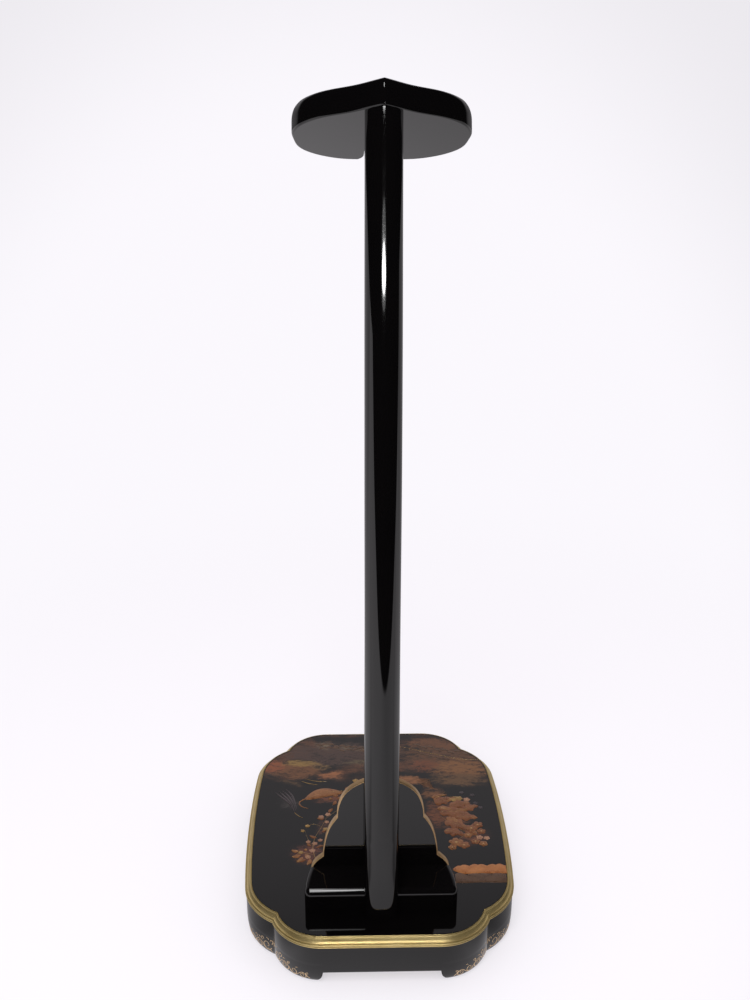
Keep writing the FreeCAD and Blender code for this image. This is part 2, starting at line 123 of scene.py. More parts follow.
def arc_b(u, d):
    """lobe B, u = 0 at the cusp, 1 at the end edge"""
    c = cusp_pt(d)
    b0 = math.atan2(c[1] - CB[1], c[0] - CB[0])
    b = b0 + (math.pi / 2 - b0) * u
    return CB[0] + (RB + d) * math.cos(b), CB[1] + (RB + d) * math.sin(b)


def side_pt(y, d):
    s = side_slope(y)
    n = math.hypot(1, s)
    return side_x(y) + d / n, y - s * d / n


NA, NS, NB, NE = 30, 40, 34, 16


def side_line(d, sx):
    """offset panel edge of a long side, rear cusp to front cusp"""
    pts = [(p[0], -p[1]) for p in (arc_a(1 - i / NA, d) for i in range(NA))]
    pts += [side_pt(-SIDE_Y + 2 * SIDE_Y * i / NS, d) for i in range(NS)]
    pts += [arc_a(i / NA, d) for i in range(NA + 1)]
    return [(x * sx, y) for x, y in pts]


def end_line(d, sy):
    """offset panel edge of a short end, left cusp to right cusp"""
    ye = CB[1] + RB + d
    pts = [(-p[0], p[1]) for p in (arc_b(i / NB, d) for i in range(NB))]
    pts += [(-END_X + 2 * END_X * i / NE, ye) for i in range(NE)]
    pts += [arc_b(1 - i / NB, d) for i in range(NB + 1)]
    return [(x, y * sy) for x, y in pts]


# ------------------------------------------------------------------ mesh helpers
def make(name, verts, faces, mats, fmat=None, smooth=True, sharp=32.0, flat=None):
    me = bpy.data.meshes.new(name)
    me.from_pydata([(v[0] * MM, v[1] * MM, v[2] * MM) for v in verts], [], faces)
    me.validate()
    bm = bmesh.new()
    bm.from_mesh(me)
    bmesh.ops.recalc_face_normals(bm, faces=bm.faces)
    bm.to_mesh(me)
    bm.free()
    for m in (mats if isinstance(mats, (list, tuple)) else [mats]):
        me.materials.append(m)
    if fmat is not None:
        me.polygons.foreach_set("material_index", fmat)
    me.polygons.foreach_set("use_smooth", [smooth] * len(me.polygons))
    if smooth and sharp:
        me.set_sharp_from_angle(angle=math.radians(sharp))
    me.update()
    ob = bpy.data.objects.new(name, me)
    SC.collection.objects.link(ob)
    return ob


def put(ob, slot, *nodes):
    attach(ob, "root")
    if nodes:
        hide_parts(*nodes)
    return ob


def sweep(name, line_fn, s, profile, mats, pmat=None, sharp=32.0):
    """closed profile of (d, z) swept along an offset line; pmat gives a material index per profile edge"""
    cols = []
    for d, z in profile:
        cols.append([(x, y, z) for x, y in line_fn(d, s)])
    n, k = len(cols[0]), len(cols)
    verts = [cols[j][i] for i in range(n) for j in range(k)]
    faces, fm = [], []
    for i in range(n - 1):
        for j in range(k):
            j2 = (j + 1) % k
            faces.append((i * k + j, i * k + j2, (i + 1) * k + j2, (i + 1) * k + j))
            fm.append(pmat[j] if pmat else 0)
    faces.append(tuple(range(k)))
    faces.append(tuple((n - 1) * k + j for j in reversed(range(k))))
    fm += [0, 0]
    return make(name, verts, faces, mats, fm, True, sharp)


def cubic(pts, per, closed=False):
    """natural cubic spline through points of any dimension, chord-length parameter"""
    p = np.array(pts, float)
    t = np.concatenate([[0], np.cumsum(np.linalg.norm(np.diff(p, axis=0), axis=1) ** 0.75)])
    n = len(p)
    h = np.diff(t)
    a = np.zeros((n, n))
    r = np.zeros((n, p.shape[1]))
    a[0, 0] = a[-1, -1] = 1
    for i in range(1, n - 1):
        a[i, i - 1], a[i, i], a[i, i + 1] = h[i - 1], 2 * (h[i - 1] + h[i]), h[i]
        r[i] = 6 * ((p[i + 1] - p[i]) / h[i] - (p[i] - p[i - 1]) / h[i - 1])
    m = np.linalg.solve(a, r)
    out = []
    for i in range(n - 1):
        for q in range(per):
            x = t[i] + h[i] * q / per
            A, B = (t[i + 1] - x) / h[i], (x - t[i]) / h[i]
            out.append(A * p[i] + B * p[i + 1] + ((A ** 3 - A) * m[i] + (B ** 3 - B) * m[i + 1]) * h[i] ** 2 / 6)
    out.append(p[-1])
    return np.array(out)


def spline_at(xs, ys, q):
    """smoothed natural cubic y(x)"""
    xs, ys = np.array(xs, float), np.array(ys, float)
    n = len(xs)
    h = np.diff(xs)
    a = np.zeros((n, n))
    r = np.zeros(n)
    a[0, 0] = a[-1, -1] = 1
    for i in range(1, n - 1):
        a[i, i - 1], a[i, i], a[i, i + 1] = h[i - 1], 2 * (h[i - 1] + h[i]), h[i]
        r[i] = 6 * ((ys[i + 1] - ys[i]) / h[i] - (ys[i] - ys[i - 1]) / h[i - 1])
    m = np.linalg.solve(a, r)
    q = np.atleast_1d(q)
    k = np.clip(np.searchsorted(xs, q) - 1, 0, n - 2)
    A, B = (xs[k + 1] - q) / h[k], (q - xs[k]) / h[k]
    return A * ys[k] + B * ys[k + 1] + ((A ** 3 - A) * m[k] + (B ** 3 - B) * m[k + 1]) * h[k] ** 2 / 6


def outline_offset(pts, d):
    """closed outline (counter-clockwise) moved inward by d per point"""
    p = np.array(pts, float)
    a = np.roll(p, 1, axis=0)
    b = np.roll(p, -1, axis=0)
    e0, e1 = p - a, b - p
    e0 /= np.linalg.norm(e0, axis=1)[:, None]
    e1 /= np.linalg.norm(e1, axis=1)[:, None]
    n0 = np.stack([-e0[:, 1], e0[:, 0]], 1)
    n1 = np.stack([-e1[:, 1], e1[:, 0]], 1)
    n = n0 + n1
    l = np.linalg.norm(n, axis=1)
    n /= l[:, None]
    c = np.clip((n * n0).sum(1), 0.5, 1)
    d = np.broadcast_to(np.asarray(d, float), (len(p),))
    return p + n * (d / c)[:, None]


def unfold_tip(ring):
    """the outline starts at a pointed tip on x = 0; undo the fold that a deep inset makes there"""
    k, i = len(ring), 1
    while i < k // 3 and ring[i][0] <= 0.02 * i:
        i += 1
    if i == 1:
        return ring
    (x0, v0), (x1, v1) = ring[i - 1], ring[i]
    vc = v0 + (v1 - v0) * max(0.0, -x0) / max(1e-6, x1 - x0)
    ring = [tuple(q) for q in ring]
    for j in range(i):
        ring[j] = (0.004 * j, vc + 0.001 * j)
        if j:
            ring[k - j] = (-0.004 * j, vc + 0.001 * j)
    return ring


def slab(name, outline, rows, place, mats, edge_mat=0, face_mat=0, sharp=32.0, inset=0.35, weights=None, tip=False):
    """solid from a closed outline with a rounded edge; rows are (w, inset) from one face to the other"""
    k = len(outline)
    w_ = np.ones(k) if weights is None else np.asarray(weights)
    rings = [(rows[0][0], rows[0][1] + inset)] + rows + [(rows[-1][0], rows[-1][1] + inset)]
    verts, faces, fm = [], [], []
    for w, ins in rings:
        ring = outline_offset(outline, ins * w_)
        for q in (unfold_tip(ring) if tip else ring):
            verts.append(place(q[0], q[1], w))
    for i in range(len(rings) - 1):
        first, last = i == 0, i == len(rings) - 2
        for j in range(k):
            j2 = (j + 1) % k
            faces.append((i * k + j, i * k + j2, (i + 1) * k + j2, (i + 1) * k + j))
            fm.append(face_mat if (first or last) else edge_mat)
    faces.append(tuple(range(k)))
    faces.append(tuple((len(rings) - 1) * k + j for j in reversed(range(k))))
    fm += [face_mat, face_mat]
    return make(name, verts, faces, mats, fm, True, sharp)


# ------------------------------------------------------------------ materials
def new_mat(name):
    m = bpy.data.materials.new(name)
    m.use_nodes = True
    nt = m.node_tree
    return m, nt, nt.nodes["Principled BSDF"]


def N(nt, kind, **kw):
    n = nt.nodes.new(kind)
    for k, v in kw.items():
        setattr(n, k, v)
    return n


def L(nt, a, b):
    nt.links.new(a, b)


def coords(nt):
    return N(nt, "ShaderNodeTexCoord").outputs["Object"]


def noise_tex(nt, vec, scale, detail=3.0, rough=0.5, dist=0.0):
    n = N(nt, "ShaderNodeTexNoise")
    n.inputs["Scale"].default_value = scale
    n.inputs["Detail"].default_value = detail
    n.inputs["Roughness"].default_value = rough
    n.inputs["Distortion"].default_value = dist
    L(nt, vec, n.inputs["Vector"])
    return n.outputs["Fac"]


def remap(nt, val, a, b, c=0.0, d=1.0, smooth=False):
    n = N(nt, "ShaderNodeMapRange")
    n.interpolation_type = "SMOOTHSTEP" if smooth else "LINEAR"
    for i, v in enumerate((a, b, c, d)):
        n.inputs[1 + i].default_value = v
    L(nt, val, n.inputs[0])
    return n.outputs[0]


def mathn(nt, op, a, b=None, clamp=False):
    n = N(nt, "ShaderNodeMath", operation=op)
    n.use_clamp = clamp
    for i, v in enumerate((a, b)):
        if v is None:
            continue
        if isinstance(v, (int, float)):
            n.inputs[i].default_value = v
        else:
            L(nt, v, n.inputs[i])
    return n.outputs[0]


def mix_rgb(nt, fac, a, b, blend="MIX"):
    n = N(nt, "ShaderNodeMix", data_type="RGBA", blend_type=blend)
    for sock, v in ((n.inputs[0], fac), (n.inputs[6], a), (n.inputs[7], b)):
        if isinstance(v, (int, float)):
            sock.default_value = v
        elif isinstance(v, (tuple, list)):
            sock.default_value = (v[0], v[1], v[2], 1.0)
        else:
            L(nt, v, sock)
    return n.outputs[2]


def bump(nt, height, strength, dist):
    n = N(nt, "ShaderNodeBump")
    n.inputs["Strength"].default_value = strength
    n.inputs["Distance"].default_value = dist
    L(nt, height, n.inputs["Height"])
    return n.outputs["Normal"]


def lacquer_base(nt, p, vec, colour):
    """polished black lacquer: faint cloudiness in gloss, very slight polish waves"""
    cloud = noise_tex(nt, vec, 22.0, 3.0, 0.55)
    fine = noise_tex(nt, vec, 900.0, 2.0, 0.6)
    r1 = remap(nt, cloud, 0.3, 0.75, 0.028, 0.052)
    r2 = remap(nt, fine, 0.62, 0.8, 0.0, 0.05)
    L(nt, mathn(nt, "ADD", r1, r2), p.inputs["Roughness"])
    p.inputs["IOR"].default_value = 1.53
    wave = noise_tex(nt, vec, 60.0, 1.0, 0.4)
    L(nt, bump(nt, wave, 0.02, 0.00035), p.inputs["Normal"])
    return colour


def mat_lacquer():
    m, nt, p = new_mat("black_lacquer")
    vec = coords(nt)
    lacquer_base(nt, p, vec, None)
    n = noise_tex(nt, vec, 14.0, 2.0)
    L(nt, mix_rgb(nt, n, (0.0010, 0.0009, 0.0011), (0.0022, 0.0018, 0.0018)), p.inputs["Base Color"])
    return m


def mat_gold(name, lo, hi, rough=(0.24, 0.40), grain=2600.0, wear=0.0, metal=0.88):
    """gold powder lacquer: fine grain, brushed-on unevenness, slightly darker thin spots"""
    m, nt, p = new_mat(name)
    vec = coords(nt)
    big = noise_tex(nt, vec, 38.0, 4.0, 0.6)
    fine = noise_tex(nt, vec, grain, 2.0, 0.7)
    c = mix_rgb(nt, remap(nt, big, 0.32, 0.7), lo, hi)
    c = mix_rgb(nt, remap(nt, fine, 0.35, 0.7, 0.0, 0.4), c, tuple(0.62 * x for x in lo))
    if wear:
        spots = noise_tex(nt, vec, 240.0, 4.0, 0.65)
        c = mix_rgb(nt, remap(nt, spots, 0.66, 0.74, 0.0, wear), c, (0.03, 0.016, 0.01))
    L(nt, c, p.inputs["Base Color"])
    p.inputs["Metallic"].default_value = metal
    L(nt, remap(nt, big, 0.3, 0.7, rough[0], rough[1]), p.inputs["Roughness"])
    L(nt, bump(nt, fine, 0.12, 0.0001), p.inputs["Normal"])
    return m


def mat_makie(name, lo, hi, metallic=0.45, rough=0.3, speck=(0.01, 0.006, 0.005), amount=0.45):
    """raised sprinkled picture: coloured powder under a thin clear lacquer"""
    m, nt, p = new_mat(name)
    vec = coords(nt)
    big = noise_tex(nt, vec, 120.0, 4.0, 0.6)
    fine = noise_tex(nt, vec, 2300.0, 2.0, 0.7)
    c = mix_rgb(nt, remap(nt, big, 0.3, 0.7), lo, hi)
    c = mix_rgb(nt, remap(nt, fine, 0.45, 0.62, 0.0, amount), c, speck)
    L(nt, c, p.inputs["Base Color"])
    p.inputs["Metallic"].default_value = metallic
    L(nt, remap(nt, big, 0.3, 0.7, rough * 0.8, rough * 1.2), p.inputs["Roughness"])
    p.inputs["Coat Weight"].default_value = 0.5
    p.inputs["Coat Roughness"].default_value = 0.06
    L(nt, bump(nt, fine, 0.15, 0.0001), p.inputs["Normal"])
    return m


def mat_wood():
    m, nt, p = new_mat("bare_wood")
    vec = coords(nt)
    mp = N(nt, "ShaderNodeMapping")
    mp.inputs["Scale"].default_value = (6.0, 60.0, 60.0)
    L(nt, vec, mp.inputs["Vector"])
    rings = noise_tex(nt, mp.outputs[0], 2.4, 5.0, 0.6, 0.6)
    pores = noise_tex(nt, mp.outputs[0], 22.0, 3.0, 0.7)
    c = mix_rgb(nt, remap(nt, rings, 0.3, 0.7), (0.36, 0.21, 0.10), (0.58, 0.40, 0.22))
    c = mix_rgb(nt, remap(nt, pores, 0.55, 0.75, 0.0, 0.6), c, (0.20, 0.11, 0.05))
    L(nt, c, p.inputs["Base Color"])
    L(nt, remap(nt, rings, 0.3, 0.7, 0.5, 0.7), p.inputs["Roughness"])
    L(nt, bump(nt, pores, 0.3, 0.0002), p.inputs["Normal"])
    return m


def mat_brass():
    m, nt, p = new_mat("screw_brass")
    vec = coords(nt)
    n = noise_tex(nt, vec, 400.0, 4.0, 0.6)
    L(nt, mix_rgb(nt, n, (0.45, 0.30, 0.12), (0.72, 0.52, 0.25)), p.inputs["Base Color"])
    p.inputs["Metallic"].default_value = 1.0
    L(nt, remap(nt, n, 0.3, 0.7, 0.25, 0.45), p.inputs["Roughness"])
    L(nt, bump(nt, noise_tex(nt, vec, 1500.0, 2.0), 0.15, 0.0001), p.inputs["Normal"])
    return m


# sprinkled clouds on the panel: centre, radii (mm), turn (deg), colour, strength, edge softness
HAZE = [
    ((72, 106), (62, 34), -6, (0.098, 0.048, 0.027), 0.92, 0.7),
    ((-42, 112), (76, 28), 0, (0.058, 0.036, 0.030), 0.90, 0.7),
    ((-80, 85), (38, 20), -6, (0.130, 0.058, 0.028), 0.95, 0.75),
    ((-104, 92), (20, 14), 14, (0.205, 0.066, 0.030), 0.95, 0.95),
    ((-78, 97), (22, 8), 4, (0.230, 0.140, 0.046), 0.85, 0.85),
    ((-60, 92), (16, 7), -8, (0.165, 0.100, 0.042), 0.70, 0.85),
    ((-46, 76), (18, 9), 18, (0.250, 0.100, 0.045), 0.92, 0.8),
    ((-86, 64), (16, 8), -24, (0.085, 0.050, 0.026), 0.60, 0.85),
    ((-54, 129), (14, 10), -20, (0.150, 0.108, 0.070), 0.80, 0.85),
    ((-30, 124), (14, 8), -16, (0.130, 0.095, 0.060), 0.75, 0.85),
    ((-12, 122), (12, 7), -12, (0.130, 0.090, 0.056), 0.75, 0.85),
    ((-10, 97), (34, 7), 0, (0.095, 0.070, 0.040), 0.75, 0.85),
    ((62, 128), (44, 15), -12, (0.125, 0.055, 0.028), 0.92, 0.8),
    ((88, 84), (42, 23), -6, (0.175, 0.080, 0.034), 0.98, 0.75),
    ((50, 92), (22, 18), 20, (0.140, 0.048, 0.024), 0.80, 0.85),
    ((84, 66), (40, 17), 0, (0.105, 0.057, 0.029), 0.95, 0.85),
    ((34, 66), (17, 10), -20, (0.230, 0.100, 0.045), 0.90, 0.75),
    ((52, 44), (18, 14), 0, (0.150, 0.065, 0.030), 0.80, 0.85),
    ((66, 10), (32, 33), 0, (0.125, 0.046, 0.022), 0.90, 0.85),
    ((86, -22), (24, 19), 0, (0.100, 0.038, 0.022), 0.75, 0.9),
    ((-64, -44), (22, 18), 0, (0.095, 0.036, 0.026), 1.00, 0.9),
    ((-50, -8), (12, 18), 0, (0.075, 0.033, 0.024), 0.70, 0.9),
    ((-46, 38), (26, 11), 8, (0.120, 0.045, 0.026), 0.85, 0.85),
    ((-84, 30), (16, 14), 0, (0.040, 0.034, 0.032), 0.70, 0.9),
    ((8, 24), (34, 22), 0, (0.120, 0.045, 0.022), 0.60, 0.9),
    ((0, -42), (44, 14), 0, (0.090, 0.036, 0.020), 0.50, 0.9),
]


def mat_panel():
    m, nt, p = new_mat("makie_panel")
    vec = coords(nt)
    n = noise_tex(nt, vec, 14.0, 2.0)
    col = mix_rgb(nt, n, (0.0010, 0.0009, 0.0011), (0.0022, 0.0018, 0.0018))
    sep = N(nt, "ShaderNodeSeparateXYZ")
    L(nt, vec, sep.inputs[0])
    warp = N(nt, "ShaderNodeTexNoise")
    warp.inputs["Scale"].default_value = 34.0
    warp.inputs["Detail"].default_value = 4.0
    warp.inputs["Roughness"].default_value = 0.6
    L(nt, vec, warp.inputs["Vector"])
    wsub = N(nt, "ShaderNodeVectorMath", operation="SUBTRACT")
    wsub.inputs[1].default_value = (0.5, 0.5, 0.5)
    L(nt, warp.outputs["Color"], wsub.inputs[0])
    wsc = N(nt, "ShaderNodeVectorMath", operation="MULTIPLY")
    wsc.inputs[1].default_value = (0.030, 0.016, 0.0)
    L(nt, wsub.outputs[0], wsc.inputs[0])
    wadd = N(nt, "ShaderNodeVectorMath", operation="ADD")
    L(nt, vec, wadd.inputs[0])
    L(nt, wsc.outputs[0], wadd.inputs[1])
    strokes_map = N(nt, "ShaderNodeMapping")
    strokes_map.inputs["Scale"].default_value = (1.0, 3.2, 1.0)
    L(nt, wadd.outputs[0], strokes_map.inputs["Vector"])
    strokes = noise_tex(nt, strokes_map.outputs[0], 70.0, 5.0, 0.62)
    powder = noise_tex(nt, vec, 2600.0, 2.0, 0.75)
    brush_map = N(nt, "ShaderNodeMapping")
    brush_map.inputs["Scale"].default_value = (1.0, 2.4, 1.0)
    brush_map.inputs["Rotation"].default_value = (0, 0, math.radians(24))
    L(nt, wadd.outputs[0], brush_map.inputs["Vector"])
    brush = noise_tex(nt, brush_map.outputs[0], 230.0, 4.0, 0.66)
    brushed = remap(nt, brush, 0.34, 0.62, 0.58, 1.12, True)
    # broad veil of brown powder over the far half, broken by brushed gaps
    wsep = N(nt, "ShaderNodeSeparateXYZ")
    L(nt, wadd.outputs[0], wsep.inputs[0])
    veil = remap(nt, wsep.outputs["Y"], 0.030, 0.095, 0.0, 0.62, True)
    patch = noise_tex(nt, strokes_map.outputs[0], 17.0, 3.0, 0.55)
    veil = mathn(nt, "MULTIPLY", veil, remap(nt, patch, 0.36, 0.62, 0.25, 1.1, True))
    veil = mathn(nt, "MULTIPLY", veil, remap(nt, strokes, 0.28, 0.66, 0.55, 1.1), True)
    vth = mathn(nt, "SUBTRACT", mathn(nt, "ADD", powder, mathn(nt, "MULTIPLY", veil, 0.62)), 0.66)
    vg = mathn(nt, "MULTIPLY", remap(nt, vth, 0.0, 0.2, 0.0, 1.0), mathn(nt, "MULTIPLY", veil, 1.2, True), True)
    tint = noise_tex(nt, vec, 26.0, 3.0, 0.55)
    vcol = mix_rgb(nt, remap(nt, tint, 0.38, 0.62), (0.098, 0.052, 0.033), (0.135, 0.050, 0.024))
    col = mix_rgb(nt, vg, col, vcol)
    total = mathn(nt, "MULTIPLY", vg, 1.0)
    for (cx, cy), (rx, ry), turn, rgb, strength, soft in HAZE:
        mp = N(nt, "ShaderNodeMapping", vector_type="TEXTURE")
        mp.inputs["Location"].default_value = (cx * MM, cy * MM, TOP * MM)
        mp.inputs["Rotation"].default_value = (0, 0, math.radians(turn))
        mp.inputs["Scale"].default_value = (rx * MM, ry * MM, 1.0)
        L(nt, wadd.outputs[0], mp.inputs["Vector"])
        ln = N(nt, "ShaderNodeVectorMath", operation="LENGTH")
        L(nt, mp.outputs[0], ln.inputs[0])
        f = remap(nt, ln.outputs["Value"], 1.0 - soft, 1.0 + 0.25 * soft, strength, 0.0, True)
        f = mathn(nt, "MULTIPLY", f, remap(nt, strokes, 0.28, 0.66, 0.45, 1.15), True)
        f = mathn(nt, "MULTIPLY", f, brushed, True)
        # powder: denser where the cloud is stronger
        th = mathn(nt, "SUBTRACT", mathn(nt, "ADD", powder, mathn(nt, "MULTIPLY", f, 0.62)), 0.66)
        g = remap(nt, th, 0.0, 0.16, 0.0, 1.0)
        g = mathn(nt, "MULTIPLY", g, mathn(nt, "MULTIPLY", f, 1.25, True), True)
        col = mix_rgb(nt, g, col, rgb)
        total = g if total is None else mathn(nt, "MAXIMUM", total, g)
    L(nt, col, p.inputs["Base Color"])
    p.inputs["IOR"].default_value = 1.53
    cloud = noise_tex(nt, vec, 22.0, 3.0, 0.55)
    L(nt, remap(nt, cloud, 0.3, 0.75, 0.04, 0.075), p.inputs["Roughness"])
    L(nt, mathn(nt, "MULTIPLY", total, 0.25), p.inputs["Metallic"])
    p.inputs["Coat Weight"].default_value = 0.0
    L(nt, bump(nt, noise_tex(nt, vec, 60.0, 1.0, 0.4), 0.02, 0.00035), p.inputs["Normal"])
    return m


BLACK = mat_lacquer()
GOLD = mat_gold("gold_rim", (0.60, 0.45, 0.18), (0.85, 0.67, 0.31), (0.31, 0.42), metal=0.88)
GOLD_EDGE = mat_gold("gold_board_edge", (0.50, 0.31, 0.15), (0.68, 0.46, 0.24), (0.34, 0.46), wear=0.5)
GOLD_LINE = mat_gold("gold_scroll", (0.50, 0.34, 0.19), (0.78, 0.57, 0.36), (0.34, 0.48), wear=0.25, metal=0.5)
PANEL = mat_panel()
RUSSET = mat_makie("makie_russet", (0.18, 0.060, 0.023), (0.31, 0.115, 0.042), amount=0.55)
ORANGE = mat_makie("makie_orange", (0.36, 0.118, 0.036), (0.56, 0.225, 0.074), amount=0.4)
AMBER = mat_makie("makie_amber", (0.24, 0.090, 0.031), (0.42, 0.180, 0.066), amount=0.6)
PINK = mat_makie("makie_pink", (0.36, 0.17, 0.105), (0.54, 0.30, 0.20), amount=0.3)
UMBER = mat_makie("makie_umber", (0.095, 0.048, 0.026), (0.155, 0.082, 0.045), amount=0.6)
OCHRE = mat_makie("makie_ochre", (0.30, 0.17, 0.055), (0.48, 0.30, 0.11), amount=0.35)
GREY = mat_makie("makie_grey", (0.040, 0.030, 0.034), (0.085, 0.066, 0.070), amount=0.55)
FINE = mat_gold("makie_fine_gold", (0.60, 0.38, 0.17), (0.80, 0.56, 0.28), (0.3, 0.42), wear=0.3)
WOOD = mat_wood()
BRASS = mat_brass()

for n_ in ("corner_blocks", "socket_batten", "foot_wedge", "head_wedge", "board_dowels"):
    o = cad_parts[n_]
    o.data.materials.clear()
    o.data.materials.append(WOOD)
for n_ in ("block_screws", "batten_screws"):
    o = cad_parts[n_]
    o.data.materials.clear()
    o.data.materials.append(BRASS)
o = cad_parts["base_panel"]
o.data.materials.clear()
o.data.materials.append(PANEL)


# ------------------------------------------------------------------ rim moulding
def rim_profile():
    z = TOP
    p = [(0.02, PANEL_BOT + 0.02), (0.02, z - 0.10), (0.05, z - 0.03), (0.12, z), (0.75, z), (0.92, z - 0.05)]
    p += [(1.00, z - 0.22), (1.08, z - 0.34)]                       # fine line next to the panel
    for i in range(0, 8):                      # inner round
        a = math.radians(140 - 118 * i / 7)
        p.append((1.78 + 0.66 * math.cos(a), z - 0.86 + 0.66 * math.sin(a)))
    p += [(2.46, z - 0.92), (2.56, z - 1.06)]
    for i in range(1, 13):                     # long flat ovolo
        t = i / 12
        b = 0.30 * math.sin(math.pi * t)
        p.append((2.56 + 2.74 * t + b * 0.75, z - 1.06 - 3.34 * t + b * 0.65))
    p += [(5.34, z - 4.60), (5.36, z - 4.76)]
    for i in range(0, 12):                     # outer round
        a = math.radians(78 - 140 * i / 11)
        p.append((5.90 + 0.93 * math.cos(a), z - 5.66 + 0.93 * math.sin(a)))
    p += [(6.26, z - 6.66), (6.40, z - 6.80), (6.70, z - 6.95), (6.78, z - 7.25), (6.74, z - 7.60), (6.5, PANEL_BOT + 0.10),
          (6.2, PANEL_BOT + 0.02)]
    return p


RIM = rim_profile()
for nm, fn, s in (("rim_left", side_line, -1), ("rim_right", side_line, 1), ("rim_rear", end_line, -1),
                  ("rim_front", end_line, 1)):
    put(sweep(nm + "_gilt", fn, s, RIM, [GOLD, BLACK], [1 if 0 < q < 5 else 0 for q in range(len(RIM))], sharp=50.0),
        "gold_lacquer", nm)


# ------------------------------------------------------------------ aprons
def apron(name, fn, s, n_lobe):
    """wall with a rounded foot edge; over the lobes its underside is higher, where the foot is let in"""
    def prof(zb):
        o_, i_ = APRON_OUT, APRON_IN
        r = 0.9 if zb < 15 else 0.06
        p = [(i_, PANEL_BOT), (i_, zb + 0.5), (i_ + 0.5, zb)]
        p += [(o_ - r, zb)]
        for q in range(1, 6):
            a = -math.pi / 2 + math.pi / 2 * q / 5
            p.append((o_ - r + r * math.cos(a), zb + r + r * math.sin(a)))
        p += [(o_, zb + 3.0), (o_, PANEL_BOT - 6), (o_, PANEL_BOT - 0.25), (o_ - 0.25, PANEL_BOT)]
        return p
    n = len(fn(0.0, s))
    k = len(prof(0))
    verts = []
    stations = []
    for i in range(n):
        if i < n_lobe or i > n - 1 - n_lobe:
            stations.append((i, FOOT_TOP, 0.0))
        elif i == n_lobe:
            stations += [(i, FOOT_TOP, -0.03), (i, APRON_BOT, 0.0)]
        elif i == n - 1 - n_lobe:
            stations += [(i, APRON_BOT, 0.0), (i, FOOT_TOP, 0.03)]
        else:
            stations.append((i, APRON_BOT, 0.0))
    cache = {}
    for i, zb, sh in stations:
        for d, z in prof(zb):
            if d not in cache:
                cache[d] = fn(d, s)
            x, y = cache[d][i]
            if sh:
                x2, y2 = cache[d][i + (1 if sh > 0 else -1)]
                l = math.hypot(x2 - x, y2 - y)
                x, y = x + (x2 - x) / l * abs(sh), y + (y2 - y) / l * abs(sh)
            verts.append((x, y, z))
    faces = []
    m = len(stations)
    for i in range(m - 1):
        for j in range(k):
            j2 = (j + 1) % k
            faces.append((i * k + j, i * k + j2, (i + 1) * k + j2, (i + 1) * k + j))
    faces.append(tuple(range(k)))
    faces.append(tuple((m - 1) * k + j for j in reversed(range(k))))
    return make(name + "_wall", verts, faces, BLACK, None, True, 40.0)


for nm, fn, s, nl in (("apron_left", side_line, -1, NA), ("apron_right", side_line, 1, NA),
                      ("apron_rear", end_line, -1, NB), ("apron_front", end_line, 1, NB)):
    put(apron(nm, fn, s, nl), "black_lacquer", nm)

# ------------------------------------------------------------------ feet
FZ = [0.0, 0.25, 0.8, 1.6, 2.6, 3.8, 5.2, 6.8, 8.4, 9.4, 10.4, 12.0, 14.0, 16.0, 18.0]
F_D = dict(zip(FZ, [2.5, 3.1, 3.7, 4.2, 4.62, 4.95, 5.22, 5.44, 5.6, 5.68, 5.75, 5.82, 5.88, 5.9, 5.9]))
F_TRIM = dict(zip(FZ, [8.8, 7.2, 5.6, 4.3, 3.2, 2.2, 1.35, 0.7, 0.35, 0.25, 0.0, 0.0, 0.0, 0.0, 0.0]))
_fzs = sorted(F_D)


def foot_d(z):
    return float(np.interp(z, _fzs, [F_D[q] for q in _fzs]))


def foot_ring(z, d_o, d_i, trim, nu=26):
    la = (LOBE_A_R + d_o) * (A1 - A0)
    lb = (RB + d_o) * (math.pi / 2 - math.atan2(CUSP[1] - CB[1], CUSP[0] - CB[0]))
    ta, tb = trim / la, trim / lb
    out = [arc_a(ta + (1 - ta) * i / nu, d_o) for i in range(nu)]
    out += [arc_b((1 - tb) * i / nu, d_o) for i in range(nu + 1)]
    inn = [arc_a(ta + (1 - ta) * i / nu, d_i) for i in range(nu)]
    inn += [arc_b((1 - tb) * i / nu, d_i) for i in range(nu + 1)]
    return out, inn


def foot(name, sx, sy):
    verts, faces = [], []
    rings = []
    for z in FZ:
        o_, i_ = foot_ring(z, F_D[z], FOOT_IN + (0.8 - z if z < 0.8 else 0.0), F_TRIM[z])
        ring = o_ + list(reversed(i_))
        rings.append(ring)
        verts += [(x * sx, y * sy, z) for x, y in ring]
    k = len(rings[0])
    h = k // 2
    for i in range(len(FZ) - 1):
        for j in range(k):
            j2 = (j + 1) % k
            faces.append((i * k + j, i * k + j2, (i + 1) * k + j2, (i + 1) * k + j))
    for base in (0, (len(FZ) - 1) * k):
        for j in range(h - 1):
            faces.append((base + j, base + j + 1, base + k - 2 - j, base + k - 1 - j))
    return make(name + "_scroll", verts, faces, BLACK, None, True, 34.0)


FEET = [("foot_rear_left", -1, -1), ("foot_rear_right", 1, -1), ("foot_front_left", -1, 1),
        ("foot_front_right", 1, 1)]
for nm, sx, sy in FEET:
    put(foot(nm, sx, sy), "black_lacquer", nm)


